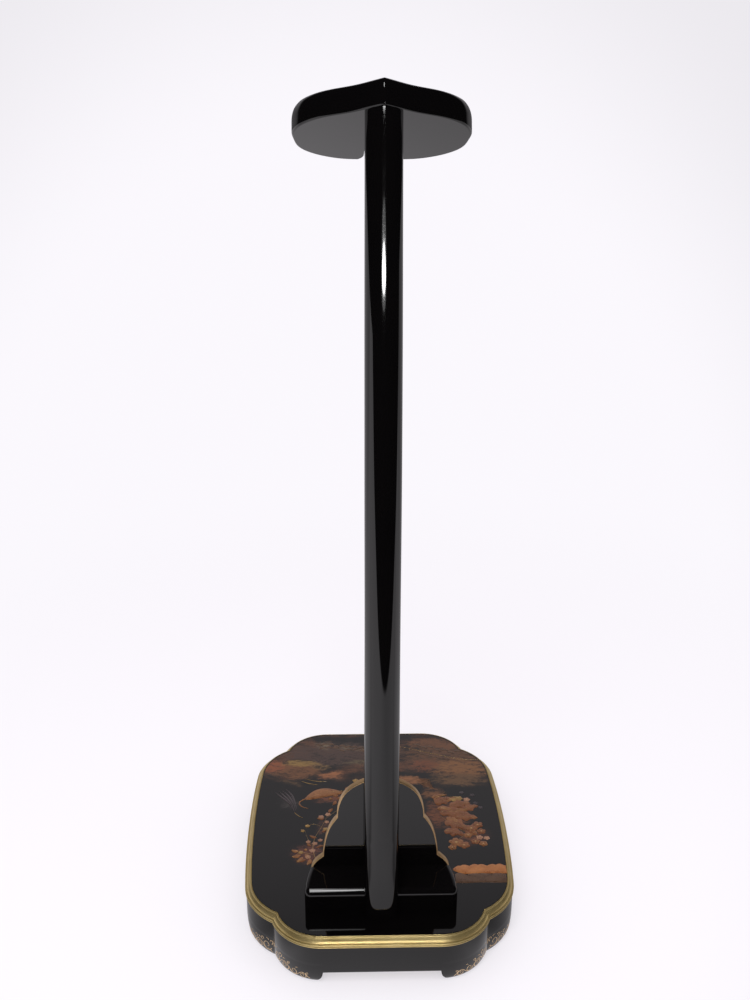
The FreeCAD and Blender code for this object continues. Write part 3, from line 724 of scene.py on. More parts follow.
# gold scroll lines laid on the feet
def foot_surf(lobe, l, z, lift):
    """point on a foot's outer face; l runs from the cusp along the lobe in mm"""
    d = foot_d(z)
    if lobe == "A":
        L_ = (LOBE_A_R + d) * (A1 - A0)
        u = 1 - l / L_
        p = arc_a(u, d)
        n = (p[0] - CA[0], p[1] - CA[1])
    else:
        L_ = (RB + d) * (math.pi / 2 - math.atan2(CUSP[1] - CB[1], CUSP[0] - CB[0]))
        u = l / L_
        p = arc_b(min(u, 1.0), d)
        n = (p[0] - CB[0], p[1] - CB[1])
    q = math.hypot(*n)
    n = (n[0] / q, n[1] / q)
    dz = (foot_d(z + 0.3) - foot_d(z - 0.3)) / 0.6
    nv = Vector((n[0], n[1], -dz)).normalized()
    return Vector((p[0], p[1], z)) + nv * lift, nv


def ribbon(lobe, path, width, verts, faces, sx, sy, lift=0.16):
    """low half-round line along a path of (l, z, width factor)"""
    pts = [foot_surf(lobe, l, z, 0.0) for l, z, w in path]
    n = len(pts)
    prof = [(-0.5, -0.05), (-0.36, 0.7), (0.0, 1.0), (0.36, 0.7), (0.5, -0.05)]
    start = len(verts)
    for i, (p, nv) in enumerate(pts):
        a, b = pts[max(0, i - 1)][0], pts[min(n - 1, i + 1)][0]
        t = (b - a).normalized()
        s = t.cross(nv).normalized()
        w = width * path[i][2]
        for u, v in prof:
            q = p + s * (u * w) + nv * (v * lift)
            verts.append((q.x * sx, q.y * sy, q.z))
    k = len(prof)
    for i in range(n - 1):
        for j in range(k - 1):
            a = start + i * k + j
            faces.append((a, a + 1, a + k + 1, a + k))
        a = start + i * k
        faces.append((a + k - 1, a, a + k, a + 2 * k - 1))
    faces.append(tuple(start + j for j in range(k)))
    faces.append(tuple(start + (n - 1) * k + j for j in reversed(range(k))))


def spiral(cx, cz, r, turns, start, direction, n=30, inner=0.10):
    out = []
    for i in range(n + 1):
        t = i / n
        a = start + direction * turns * 2 * math.pi * t
        rr = r * (1 - t) ** 0.85 + r * inner
        out.append((max(0.25, cx + rr * math.cos(a)), max(0.3, cz + rr * math.sin(a)), 1.0 - 0.40 * t))
    return out


def scroll_work(lobe, length, verts, faces, sx, sy):
    """vine scroll: a wavy stem, large open curls away from the cusp, a few side curls and leaf ticks"""
    big = [(8.0, 9.8, 4.4, 1, 200), (19.0, 6.6, 3.9, -1, 20), (28.6, 6.6, 3.3, 1, 190), (36.8, 4.9, 2.7, -1, 20)]
    f = (length - 3.6) / 43.5
    stem = cubic([(2.4, 3.0), (5.0, 5.0), (10.0, 4.6), (14.2, 8.4), (19.0, 10.6), (24.0, 7.2), (28.0, 2.8), (32.0, 4.4),
                  (36.8, 8.0), (40.4, 5.4), (42.4, 2.9)], 6)
    ribbon(lobe, [(a * f, b, 0.9) for a, b in stem], 0.66, verts, faces, sx, sy)
    for c, cz_, r, d, st in big:
        ribbon(lobe, spiral(c * f, cz_, r, 1.15, math.radians(st), d, 30, 0.22), 0.72, verts, faces, sx, sy)
    for c, cz_, r, d, st in ((2.8, 15.4, 1.9, -1, 250), (13.4, 14.4, 1.9, 1, 280), (24.0, 12.2, 1.6, -1, 250),
                             (41.2, 7.6, 1.4, -1, 250)):
        ribbon(lobe, spiral(c * f, cz_, r, 0.9, math.radians(st), d, 20, 0.2), 0.6, verts, faces, sx, sy)
    for a, b, c, d in ((5.4, 16.2, 8.6, 17.4), (17.0, 12.8, 19.6, 14.0), (30.6, 11.0, 33.0, 11.6), (1.6, 12.4, 0.9, 14.2)):
        ribbon(lobe, [(a * f, b, 0.5), ((a + c) / 2 * f, (b + d) / 2 + 0.5, 1.2), (c * f, d, 0.3)], 0.6, verts, faces,
               sx, sy)


for nm, sx, sy in FEET:
    vv, ff = [], []
    scroll_work("A", min(45.0, (LOBE_A_R + 1) * (A1 - A0) - 3), vv, ff, sx, sy)
    scroll_work("B", 50.0, vv, ff, sx, sy)
    put(make(nm + "_gilding", vv, ff, GOLD_LINE, None, True, 60.0), "gold_lacquer")

# ------------------------------------------------------------------ column line (used by the block's groove too)
COL = [(-118.6, 45.0, 14.3), (-118.4, 55.0, 14.35), (-117.6, 75.0, 14.4), (-116.1, 100.0, 14.4),
       (-113.9, 135.0, 14.4), (-111.8, 180.0, 14.35), (-110.2, 227.0, 14.25), (-109.0, 285.0, 14.0),
       (-107.0, 350.0, 13.95), (-104.0, 415.0, 14.0), (-98.8, 477.0, 13.9), (-92.0, 538.0, 13.8),
       (-84.0, 594.0, 13.6), (-79.0, 632.0, 13.45), (-75.6, 660.0, 13.35), (-72.6, 685.0, 13.3),
       (-70.2, 705.0, 13.3)]
YF = COL[0][0]
NR = 96


def fullness(z):
    return float(np.interp(z, (75.0, 100.0, 135.0, 180.0, 227.0), (3.4, 2.9, 2.4, 2.1, 2.0)))


def section_radius(r, a, n):
    """n = 2 is round, a larger n is fuller and flatter in front"""
    return r / (abs(math.cos(a)) ** n + abs(math.sin(a)) ** n) ** (1.0 / n)


# ------------------------------------------------------------------ socket block
END_PTS = [(61.2, -91.4), (63.8, -103.0), (64.6, -121.2)]
H0, H1 = 21.8, 24.6


def circle3(p, q, r):
    ax, ay, bx, by, cx, cy = *p, *q, *r
    d = 2 * (ax * (by - cy) + bx * (cy - ay) + cx * (ay - by))
    ux = ((ax * ax + ay * ay) * (by - cy) + (bx * bx + by * by) * (cy - ay) + (cx * cx + cy * cy) * (ay - by)) / d
    uy = ((ax * ax + ay * ay) * (cx - bx) + (bx * bx + by * by) * (ax - cx) + (cx * cx + cy * cy) * (bx - ax)) / d
    return ux, uy, math.hypot(ax - ux, ay - uy)


ux, uy, ur = circle3(*END_PTS)
a_s, a_e = (math.atan2(q[1] - uy, q[0] - ux) for q in (END_PTS[0], END_PTS[2]))
end_arc = [(ux + ur * math.cos(a_s + (a_e - a_s) * i / 5), uy + ur * math.sin(a_s + (a_e - a_s) * i / 5))
           for i in range(6)]
plan = end_arc + [(-x, y) for x, y in reversed(end_arc)]


def block_top(y):
    return TOP + H0 + (H1 - H0) * (y - B_LO[1]) / (B_HI[1] - B_LO[1])


bm = bmesh.new()
lo_ = [bm.verts.new((x, y, TOP)) for x, y in plan]
hi_ = [bm.verts.new((x, y, block_top(y))) for x, y in plan]
bm.faces.new(list(reversed(lo_)))
bm.faces.new(hi_)
for i in range(len(plan)):
    j = (i + 1) % len(plan)
    bm.faces.new((lo_[i], lo_[j], hi_[j], hi_[i]))
bmesh.ops.recalc_face_normals(bm, faces=bm.faces)
sel = []
for e in bm.edges:
    a, b = e.verts[0].co, e.verts[1].co
    top = a.z > TOP + 5 and b.z > TOP + 5
    front = a.y > B_HI[1] - 0.01 and b.y > B_HI[1] - 0.01
    corner = abs(a.z - b.z) > 5 and a.y < B_LO[1] + 0.01
    if (top and not front) or corner:
        sel.append(e)
bmesh.ops.bevel(bm, geom=sel, offset=4.8, segments=12, profile=0.5, affect="EDGES", clamp_overlap=False)
bmesh.ops.remove_doubles(bm, verts=bm.verts, dist=0.01)
me = bpy.data.meshes.new("socket_block_lacquered")
for v in bm.verts:
    v.co *= MM
bm.to_mesh(me)
bm.free()
ob = bpy.data.objects.new("socket_block_lacquered", me)
SC.collection.objects.link(ob)
# half-round groove that takes the column's foot
cv, cf = [], []
for z in np.linspace(TOP - 3, TOP + 40, 12):
    yc_ = float(np.interp(z, [c[1] for c in COL], [c[0] for c in COL]))
    rc_ = float(np.interp(z, [c[1] for c in COL], [c[2] for c in COL])) + 0.02
    for k in range(NR):
        a = 2 * math.pi * k / NR
        q = section_radius(rc_, a, fullness(z))
        cv.append((q * math.sin(a), yc_ - q * math.cos(a), z))
for i in range(11):
    for k in range(NR):
        k2 = (k + 1) % NR
        cf.append((i * NR + k, i * NR + k2, (i + 1) * NR + k2, (i + 1) * NR + k))
cf += [tuple(range(NR)), tuple(11 * NR + k for k in reversed(range(NR)))]
cutter = make("groove_cutter", cv, cf, BLACK, None, False, 0)
md = ob.modifiers.new("groove", "BOOLEAN")
md.operation = "DIFFERENCE"
md.solver = "EXACT"
md.object = cutter
dg = bpy.context.evaluated_depsgraph_get()
me2 = bpy.data.meshes.new_from_object(ob.evaluated_get(dg))
ob.modifiers.clear()
ob.data = me2
me2.name = "socket_block_lacquered_mesh"
bpy.data.objects.remove(cutter, do_unlink=True)
me2.materials.clear()
me2.materials.append(BLACK)
me2.polygons.foreach_set("material_index", [0] * len(me2.polygons))
me2.polygons.foreach_set("use_smooth", [True] * len(me2.polygons))
me2.set_sharp_from_angle(angle=math.radians(35))
w = ob.modifiers.new("wn", "WEIGHTED_NORMAL")
w.keep_sharp = True
w.weight = 100
put(ob, "black_lacquer", "socket_block")

# ------------------------------------------------------------------ lobed back board
LOBES = [
    [(60.5, 0.0), (60.6, 8.0), (60.5, 15.0), (60.0, 20.6), (58.3, 26.2), (54.7, 31.0), (49.6, 35.5)],
    [(49.6, 35.5), (49.3, 41.0), (48.4, 47.4), (46.9, 55.2), (44.5, 63.0), (41.2, 69.6), (37.2, 75.3)],
    [(37.2, 75.3), (36.9, 81.5), (35.8, 87.4), (33.4, 94.3), (29.5, 100.6), (23.2, 106.3), (15.0, 110.8),
     (7.0, 113.8), (0.0, 115.4)],
]
right = []
for i, lobe in enumerate(LOBES):
    pts = list(lobe)
    if i == 2:
        pts = pts + [(-p[0], p[1]) for p in reversed(pts[:-1])]
    c = cubic(pts, 5)
    if i == 2:
        c = c[: len(c) // 2 + 1]
    right += [tuple(q) for q in (c if i == 2 else c[:-1])]
board_out = [(x, z) for x, z in right] + [(-x, z) for x, z in reversed(right[:-1])]
board_out = [(x, z) for x, z in board_out]
y0, y1 = BB_LO[1], BB_HI[1]
# counter-clockwise in (x, z): right side up, over the top, left side down
rows_b = []
for i in range(0, 6):
    a = math.pi / 2 * i / 5
    rows_b.append((y0 + 0.9 - 0.9 * math.cos(a), 0.9 - 0.9 * math.sin(a)))
rows_b += [(y1 - q + 0.0, i_) for q, i_ in [(y - y0, ins) for y, ins in reversed(rows_b)]]


def board_place(x, z, y):
    return (x, y, TOP + max(z, 0.0))


bd = slab("back_board_lobed", board_out, rows_b, board_place, [BLACK, GOLD_EDGE], edge_mat=1, face_mat=0, sharp=40.0)
put(bd, "black_lacquer", "back_board")

# ------------------------------------------------------------------ column
TILT = math.radians(22.0)
PY, PZ = -88.0, 693.2
cz = [c[1] for c in COL]
zq = np.concatenate([np.linspace(45.0, 120.0, 46)[:-1], np.linspace(120.0, 705.0, 140)])
# gentle smoothing of the two curves keeps reflections free of kinks
ycol = spline_at(cz, [c[0] for c in COL], zq)
rcol = spline_at(cz, [c[2] for c in COL], zq)


def smooth_curve(v, n, keep):
    w_ = v.copy()
    for _ in range(n):
        u = w_.copy()
        u[1:-1] = 0.25 * w_[:-2] + 0.5 * w_[1:-1] + 0.25 * w_[2:]
        u[keep] = w_[keep]
        w_ = u
    return w_


low = zq < 46
ycol = smooth_curve(ycol, 30, low)
rcol = smooth_curve(rcol, 30, low)
verts, faces = [], []


def plate_z(y):
    return PZ - (y - PY) * math.tan(TILT)


rings = []
# foot tenon
for z, r in ((BAT_LO[2] + 0.2, 7.4), (BAT_LO[2] + 0.8, 8.0), (44.9, 8.0)):
    rings.append([(r * math.sin(2 * math.pi * k / NR), YF - r * math.cos(2 * math.pi * k / NR), z)
                  for k in range(NR)])
for i, z in enumerate(zq):
    j0, j1 = max(0, i - 1), min(len(zq) - 1, i + 1)
    dy = (ycol[j1] - ycol[j0]) / (zq[j1] - zq[j0])
    al = math.atan(dy)
    if i == 0:
        al = 0.0
    ring = []
    for k in range(NR):
        a = 2 * math.pi * k / NR
        q = section_radius(rcol[i], a, fullness(z))
        u, v = q * math.sin(a), -q * math.cos(a)
        ring.append((u, ycol[i] + v * math.cos(al), z - v * math.sin(al)))
    if max(p[2] - plate_z(p[1]) for p in ring) > -0.6:
        break
    rings.append(ring)
# last ring: on the plate's underside, following each line up
last, prev = rings[-1], rings[-2]
top_ring = []
for p, q in zip(last, prev):
    d = Vector(p) - Vector(q)
    t = (plate_z(p[1]) - p[2]) / (d.z + d.y * math.tan(TILT))
    top_ring.append(tuple(Vector(p) + d * t))
rings.append(top_ring)
# head tenon, square to the plate
cy_ = -72.9
hc = Vector((0, cy_, plate_z(cy_)))
pv = Vector((0, math.cos(TILT), -math.sin(TILT)))
pw = Vector((0, math.sin(TILT), math.cos(TILT)))
for w_, r in ((0.05, 8.0), (11.2, 8.0), (11.8, 7.4)):
    rings.append([tuple(hc + pw * w_ + Vector((1, 0, 0)) * (r * math.sin(2 * math.pi * k / NR))
                        - pv * (r * math.cos(2 * math.pi * k / NR))) for k in range(NR)])
for r in rings:
    verts += r
for i in range(len(rings) - 1):
    for k in range(NR):
        k2 = (k + 1) % NR
        faces.append((i * NR + k, i * NR + k2, (i + 1) * NR + k2, (i + 1) * NR + k))
faces.append(tuple(range(NR)))
faces.append(tuple((len(rings) - 1) * NR + k for k in reversed(range(NR))))
put(make("column_lacquered", verts, faces, BLACK, None, True, 38.0), "black_lacquer", "column")

# ------------------------------------------------------------------ head plate
PLATE_PTS = [(0.0, -1.2), (10.9, 7.0), (22.3, 14.8), (37.4, 22.4), (47.1, 29.0), (53.7, 35.6), (59.3, 43.6),
             (63.0, 53.0), (65.2, 63.0), (64.7, 74.5), (62.9, 88.5), (59.1, 98.4), (53.2, 106.6), (45.2, 113.9),
             (35.3, 119.6), (26.9, 122.2), (20.0, 122.9)]
PT = 19.2
half = cubic(PLATE_PTS, 8)
slope0 = (half[3][1] - half[0][1]) / (half[3][0] - half[0][0])
ro = 1.1
half = [(x, v + slope0 * (math.sqrt(x * x + ro * ro) - x)) for x, v in half]
nr_, nin, n_mouth, n_tip, n_fl = 10.8, 62.0, 12.2, 17.0, 10.9
v_end = PLATE_PTS[-1][1]
edge = list(half[:-1])
wts = [1.0 if v < 112 else float(np.interp(x, (20, 40), (0.5, 1.0))) for x, v in edge]
# flared mouth: one arc from the front edge to the notch side
fx, fy, fr = circle3((n_mouth, v_end - n_fl), (n_mouth + 1.5, v_end - 0.4 * n_fl), (n_tip, v_end))
f0, f1 = math.atan2(v_end - fy, n_tip - fx), math.atan2(v_end - n_fl - fy, n_mouth - fx)
if f1 - f0 > math.pi:
    f1 -= 2 * math.pi
if f0 - f1 > math.pi:
    f1 += 2 * math.pi
for i in range(0, 13):
    a = f0 + (f1 - f0) * i / 12
    edge.append((fx + fr * math.cos(a), fy + fr * math.sin(a)))
    wts.append(0.38)
for i in range(1, 9):
    t = i / 9
    edge.append((n_mouth + (nr_ - n_mouth) * t, v_end - n_fl - (v_end - n_fl - nin - nr_) * t))
    wts.append(0.38)
for i in range(0, 17):
    a = math.radians(90.0 * i / 16)
    edge.append((nr_ * math.cos(a), nin + nr_ - nr_ * math.sin(a)))
    wts.append(0.38)
plate_out = edge + [(-x, v) for x, v in reversed(edge[1:-1])]
wts = wts + list(reversed(wts[1:-1]))


def plate_place(u, v, w):
    q = Vector((u, PY, PZ)) + pv * v + pw * w
    return (q.x, q.y, q.z)


rows_p = []
for i in range(0, 7):
    a = math.pi / 2 * i / 6
    rows_p.append((2.0 - 2.0 * math.cos(a), 1.2 - 1.2 * math.sin(a)))
rows_p.append((5.5, 0.0))
for i in range(0, 11):
    a = math.pi / 2 * i / 10
    rows_p.append((PT - 0.05 - 9.7 + 9.7 * math.sin(a), 3.4 - 3.4 * math.cos(a)))
put(slab("head_plate_lacquered", plate_out, rows_p, plate_place, BLACK, sharp=42.0, inset=0.5, weights=wts, tip=True),
    "black_lacquer", "head_plate")


# ------------------------------------------------------------------ raised picture work on the panel
class Relief:
    """collects small raised shapes of one colour into one piece"""

    def __init__(self):
        self.v, self.f = [], []

    def shape(self, pts, h=0.22, edge=0.28, dome=0.0):
        """closed outline, counter-clockwise or not, raised by h with a soft edge and a crowned middle"""
        p = np.array(pts, float)
        area = 0.5 * np.sum(p[:, 0] * np.roll(p[:, 1], -1) - p[:, 1] * np.roll(p[:, 0], -1))
        if area < 0:
            p = p[::-1]
        n = len(p)
        c = p.mean(0)
        rings = [(p, -0.02), (outline_offset(p, edge * 0.3), h * 0.7), (outline_offset(p, edge), h)]
        b = len(self.v)
        for r, z in rings:
            self.v += [(q[0], q[1], TOP + z) for q in r]
        inner = rings[-1][0]
        mid = c + (inner - c) * 0.5
        self.v += [(q[0], q[1], TOP + h + dome * 0.7) for q in mid]
        self.v.append((c[0], c[1], TOP + h + dome))
        for i in range(3):
            for j in range(n):
                j2 = (j + 1) % n
                self.f.append((b + i * n + j, b + i * n + j2, b + (i + 1) * n + j2, b + (i + 1) * n + j))
        t = b + 4 * n
        for j in range(n):
            self.f.append((b + 3 * n + j, b + 3 * n + (j + 1) % n, t))
        self.f.append(tuple(b + j for j in reversed(range(n))))

    def line(self, pts, width, h=0.16, taper=(0.35, 1.0, 0.3)):
        """raised line along a smooth path with a tapered width"""
        c = cubic([(p[0], p[1]) for p in pts], 7) if len(pts) > 2 else np.array(pts, float)
        n = len(c)
        b = len(self.v)
        prof = [(-0.5, -0.02), (-0.3, 0.8), (0.0, 1.0), (0.3, 0.8), (0.5, -0.02)]
        for i in range(n):
            a, e = c[max(0, i - 1)], c[min(n - 1, i + 1)]
            t = (e - a) / np.linalg.norm(e - a)
            s = np.array([-t[1], t[0]])
            w_ = width * float(np.interp(i / (n - 1), (0, 0.4, 1), taper))
            for u, z in prof:
                q = c[i] + s * u * w_
                self.v.append((q[0], q[1], TOP + (z * h if z > 0 else z)))
        k = len(prof)
        for i in range(n - 1):
            for j in range(k - 1):
                a = b + i * k + j
                self.f.append((a, a + 1, a + k + 1, a + k))
            a = b + i * k
            self.f.append((a + k - 1, a, a + k, a + 2 * k - 1))
        self.f.append(tuple(b + j for j in range(k)))
        self.f.append(tuple(b + (n - 1) * k + j for j in reversed(range(k))))

    def done(self, name, mat):
        o_ = make(name, self.v, self.f, mat, None, True, 55.0)
        return put(o_, "gold_lacquer")


def leaf_pts(x, y, length, width, turn, bend=0.15, lobes=0, n=26):
    """pointed leaf, optionally with a lobed edge"""
    out = []
    a = math.radians(turn)
    for side in (1, -1):
        for i in range(n):
            t = i / n if side == 1 else 1 - i / n
            w_ = width * 0.5 * math.sin(math.pi * t ** 0.8) ** 0.9
            if lobes:
                w_ *= 1 + 0.26 * math.sin(lobes * math.pi * t)
            u = length * t
            v = side * w_ + bend * length * math.sin(math.pi * t)
            out.append((x + u * math.cos(a) - v * math.sin(a), y + u * math.sin(a) + v * math.cos(a)))
    return out


def flower_pts(x, y, r, turn=0.0, petals=5, depth=0.34, n=50, squash=0.92):
    out = []
    for i in range(n):
        a = 2 * math.pi * i / n
        q = abs(math.cos(petals * a / 2))
        rr = r * (1 - depth + depth * q ** 0.55)
        out.append((x + rr * math.cos(a + turn), y + rr * math.sin(a + turn) * squash))
    return out


def cloud_pts(x0, x1, yc, hgt, bumps, rng, n=90, taper=True):
    """mist band: flat below, scalloped above, thin at its left end"""
    top, bot = [], []
    for i in range(n + 1):
        t = i / n
        x = x0 + (x1 - x0) * t
        w_ = hgt * (min(1.0, (t + 0.012) / 0.19) ** 0.6 if taper else 1.0)
        wob = 0.12 * abs(math.sin(bumps * math.pi * t + 0.4)) + 0.05 * math.sin(17 * t)
        top.append((x, yc + w_ * (0.42 + wob)))
        bot.append((x, yc - w_ * (0.46 + 0.03 * math.sin(9 * t))))
    return top + list(reversed(bot))


russet, orange, amber, pink, ochre, grey, umber, fine = (Relief() for _ in range(8))


def blossom(rel, x, y, r, turn):
    rel.shape(flower_pts(x, y, r, turn), 0.26, 0.35, 0.05)
    for k in range(5):
        a = turn + 2 * math.pi * (k + 0.5) / 5
        fine.line([(x + 0.25 * r * math.cos(a), y + 0.25 * r * math.sin(a)),
                   (x + 0.5 * r * math.cos(a + 0.1), y + 0.5 * r * math.sin(a + 0.1)),
                   (x + 0.72 * r * math.cos(a), y + 0.72 * r * math.sin(a))], 0.3, 0.40)
    fine.shape(flower_pts(x, y, 0.2 * r, 0, 6, 0.1, 18), 0.44, 0.12)


def veined(rel, x, y, length, width, turn, bend=0.1, lobes=0):
    rel.shape(leaf_pts(x, y, length, width, turn, bend, lobes), 0.2, 0.3, 0.06)
    a = math.radians(turn)

    def at(t, v):
        u = length * t
        v = v + bend * length * math.sin(math.pi * t)
        return (x + u * math.cos(a) - v * math.sin(a), y + u * math.sin(a) + v * math.cos(a))
    fine.line([at(0.05, 0), at(0.35, 0), at(0.65, 0), at(0.95, 0)], 0.38, 0.34)
    for t in (0.3, 0.5, 0.7):
        for s in (1, -1):
            fine.line([at(t, 0), at(t + 0.08, s * width * 0.16), at(t + 0.14, s * width * 0.30)], 0.24, 0.32)


# left spray: stems, buds and blossoms
fine.line([(-52, -66), (-57, -52), (-60, -38), (-58, -20), (-52, -4), (-47, 14)], 0.55)
fine.line([(-58, -46), (-64, -44), (-71, -43), (-77, -47)], 0.45)
fine.line([(-60, -34), (-65, -24), (-68, -12)], 0.4)
fine.line([(-53, -6), (-60, -2), (-68, -5)], 0.4)
fine.line([(-50, 4), (-44, 12), (-37, 19), (-30, 22)], 0.4)
for x, y, r, rel in ((-47.0, 12.5, 3.2, pink), (-53.5, 8.8, 3.4, pink), (-47.8, 1.2, 3.0, pink), (-49.0, -9.4, 2.8, ochre),
                     (-66.0, -4.6, 3.0, ochre), (-70.2, -11.6, 2.6, ochre), (-53.6, -25.6, 3.2, pink),
                     (-58.6, -30.2, 3.0, pink), (-64.6, -27.6, 3.2, pink), (-60.6, -40.2, 3.4, pink),
                     (-70.8, -42.4, 3.0, ochre), (-64.2, -49.0, 3.2, pink), (-66.6, -38.6, 2.4, amber)):
    blossom(rel, x, y, r * RNG.uniform(0.72, 0.92), RNG.uniform(0, 1.2))
for x, y, l_, w_, t_ in ((-71, -46, 8.6, 4.4, 196), (-69, -49, 9, 4.6, 232), (-62, -52, 8.4, 4.2, 250),
                         (-73, -41, 7.4, 3.8, 160), (-67, -45, 7.6, 4.2, 300)):
    veined(amber, x, y, l_, w_, t_)
for x, y, l_, w_, t_ in ((-57, -36, 8, 3.6, 20), (-57, -22, 8, 3.4, 150), (-52, -14, 7, 3.2, 40), (-50, 6, 8, 3.4, 170),
                         (-62, -34, 7, 3.2, 120), (-46, 15, 8, 3.6, 60), (-66, -52, 9, 4, 190), (-56, -60, 9, 4, 285)):
    veined(russet, x, y, l_, w_, t_)
# left far group: curled leaf, grasses, small blossoms
amber.shape(leaf_pts(-70, 37, 42, 14, 12, 0.14), 0.26, 0.5, 0.12)
amber.line([(-70, 37), (-75, 31), (-72, 25), (-66, 22)], 1.7, 0.24, (1.0, 0.8, 0.2))
fine.line([(-68, 38), (-56, 44), (-44, 48), (-30, 49)], 0.5, 0.42)
for t in range(6):
    x = -60 + 5 * t
    fine.line([(x, 42.5 + t), (x + 3, 46 + t * 0.6), (x + 7, 47.6 + t * 0.4)], 0.3, 0.42)
for x, y, r in ((-40, 42, 2.6), (-34, 46, 2.6), (-36, 38, 2.4), (-30, 41, 2.4), (-45, 37, 2.4), (-29, 50, 2.2)):
    blossom(russet, x, y, r, RNG.uniform(0, 1))
for x, y, l_, w_, t_ in ((-32, 36, 9, 4, 330), (-28, 45, 9, 4, 10), (-40, 34, 8, 3.6, 250)):
    veined(russet, x, y, l_, w_, t_)
for dx, dy, le in ((0, 0, 1.0), (3.5, 1.0, 0.86), (-3.0, -2.0, 0.8), (6.5, 3.5, 0.66)):
    grey.line([(-96 + dx, 50 + dy), (-90 + dx, 42 + dy * 0.7), (-83 + dx * 0.6, 30), (-79 + dx * 0.3, 30 - 14 * le)], 2.6,
              0.2, (0.3, 1.0, 0.15))
ochre.line([(-79, 16), (-75, 11), (-71, 8)], 0.8, 0.2, (0.8, 0.7, 0.3))
ochre.line([(-74, 66), (-66, 62), (-58, 60)], 0.9, 0.2, (0.3, 1.0, 0.3))
ochre.line([(-70, 70), (-60, 66), (-50, 65)], 0.6, 0.2, (0.3, 1.0, 0.3))
for i in range(9):
    x = -62 + 6.2 * i
    y = 132 - 1.3 * i
    umber.shape(leaf_pts(x, y + RNG.uniform(-2, 2), 8.5, 3.6, RNG.uniform(-30, 35), 0.2), 0.10, 0.5)
for i in range(7):
    x = -58 + 7 * i
    umber.shape(leaf_pts(x, 123 - 0.8 * i + RNG.uniform(-2, 2), 8, 3.0, RNG.uniform(-40, 20), 0.2), 0.10, 0.5)
# right cluster
for x, y, l_, w_, t_ in ((60, 14, 26, 17, -8), (64, 0, 24, 15, -32), (70, 22, 22, 13, 14), (57, 26, 19, 12, 34),
                         (74, 6, 22, 12, -4), (82, 16, 18, 10, 24), (62, -14, 20, 12, -20), (80, -8, 18, 11, -48)):
    veined(russet, x, y, l_, w_, t_, 0.08, 5)
for x, y, l_, w_, t_ in ((58, 20, 18, 8, -18), (66, 6, 16, 8, -46), (73, 14, 15, 7, 8), (54, 36, 16, 5, 18),
                         (56, 32, 14, 4.4, 42), (68, 30, 13, 4.6, 30)):
    veined(amber, x, y, l_, w_, t_, 0.12, 3)
for x, y, r, rel in ((80.5, 35.0, 3.8, ochre), (88.0, 33.0, 3.4, pink), (75.0, 33.0, 3.0, ochre), (72, -31, 7.0, amber),
                     (79, -35, 5.6, russet), (88, -11, 6.0, russet), (94.5, -6, 5.4, russet), (101.0, -25.5, 3.0, pink),
                     (94.5, -24.5, 3.4, pink), (97, -33.5, 4.2, amber), (90, -30, 4.6, russet), (68, -38, 4.2, amber),
                     (97, -15.5, 4.4, russet), (84, -21, 4.2, amber)):
    blossom(rel, x, y, r, RNG.uniform(0, 1.2))
fine.line([(72, -30), (80, -22), (88, -20), (97, -25)], 0.5)
fine.line([(60, 8), (70, -4), (80, -14), (92, -22)], 0.6)
fine.line([(54, 30), (64, 34), (74, 38), (86, 34)], 0.5)
fine.line([(52, 38), (60, 40), (68, 46)], 0.45)
for x, y in ((96, 27), (100, 20), (90, 24), (84, 44), (94, 40)):
    grey.shape(flower_pts(x, y, 2.6, x, 5, 0.3, 30), 0.16, 0.3)
# mist band at the right
orange.shape(cloud_pts(66, 113.6, -68.6, 12.4, 6, RNG), 0.22, 0.5)
umber.shape(cloud_pts(67, 112.2, -80.4, 12.6, 4, RNG, 90, False), 0.18, 0.5)
# hill line at the far right
fine.line([(22, 126), (36, 121.5), (50, 115.6), (69, 108), (86, 102), (106, 99.6)], 0.7, 0.16, (0.3, 1.0, 0.3))
umber.line([(30, 118), (46, 112), (66, 104), (88, 98), (108, 96)], 1.8, 0.10, (0.2, 1.0, 0.2))
for i in range(8):
    x = 40 + 7 * i
    umber.shape(leaf_pts(x, 128 - 2.2 * i + RNG.uniform(-2, 2), 10, 3.2, RNG.uniform(-34, 6), 0.15), 0.08, 0.5)
for i in range(7):
    amber.line([(41 + 1.0 * i, 66 - 2.0 * i), (47 + 1.0 * i, 67.5 - 2.2 * i), (54 + 0.6 * i, 66 - 2.6 * i)], 1.1, 0.2,
                (0.3, 1.0, 0.2))
# middle, in front of the board
for x, y, r, rel in ((-8, 34, 4.4, pink), (0, 26, 4.8, amber), (9, 33, 4.2, pink), (14, 22, 3.8, russet), (-12, 22, 3.6, russet),
                     (4, 42, 3.6, ochre), (-20, 66, 3.2, ochre), (22, 60, 3.6, pink)):
    blossom(rel, x, y, r, RNG.uniform(0, 1.2))
for x, y, l_, w_, t_ in ((-10, 16, 15, 7, 200), (12, 14, 16, 7, -26), (-16, 32, 14, 6, 160), (18, 32, 15, 7, 24),
                         (2, 50, 12, 5, 80), (-4, 12, 12, 5, 260), (24, 54, 13, 6, -40), (-22, 60, 12, 5, 220)):
    veined(russet, x, y, l_, w_, t_, 0.1, 3)
fine.line([(-30, 6), (-16, 14), (0, 24), (12, 34), (22, 50), (24, 62)], 0.55)
fine.line([(0, 24), (-10, 36), (-18, 52), (-20, 66)], 0.5)
orange.shape(cloud_pts(-44, 34, -38, 9.0, 7, RNG), 0.18, 0.5)
russet.shape(cloud_pts(-30, 44, -49, 8.0, 5, RNG), 0.16, 0.5)

russet.done("makie_russet_relief", RUSSET)
orange.done("makie_orange_relief", ORANGE)
pink.done("makie_pink_relief", PINK)
ochre.done("makie_ochre_relief", OCHRE)
grey.done("makie_grey_relief", GREY)
umber.done("makie_umber_relief", UMBER)
amber.done("makie_amber_relief", AMBER)
fine.done("makie_gold_lines", FINE)

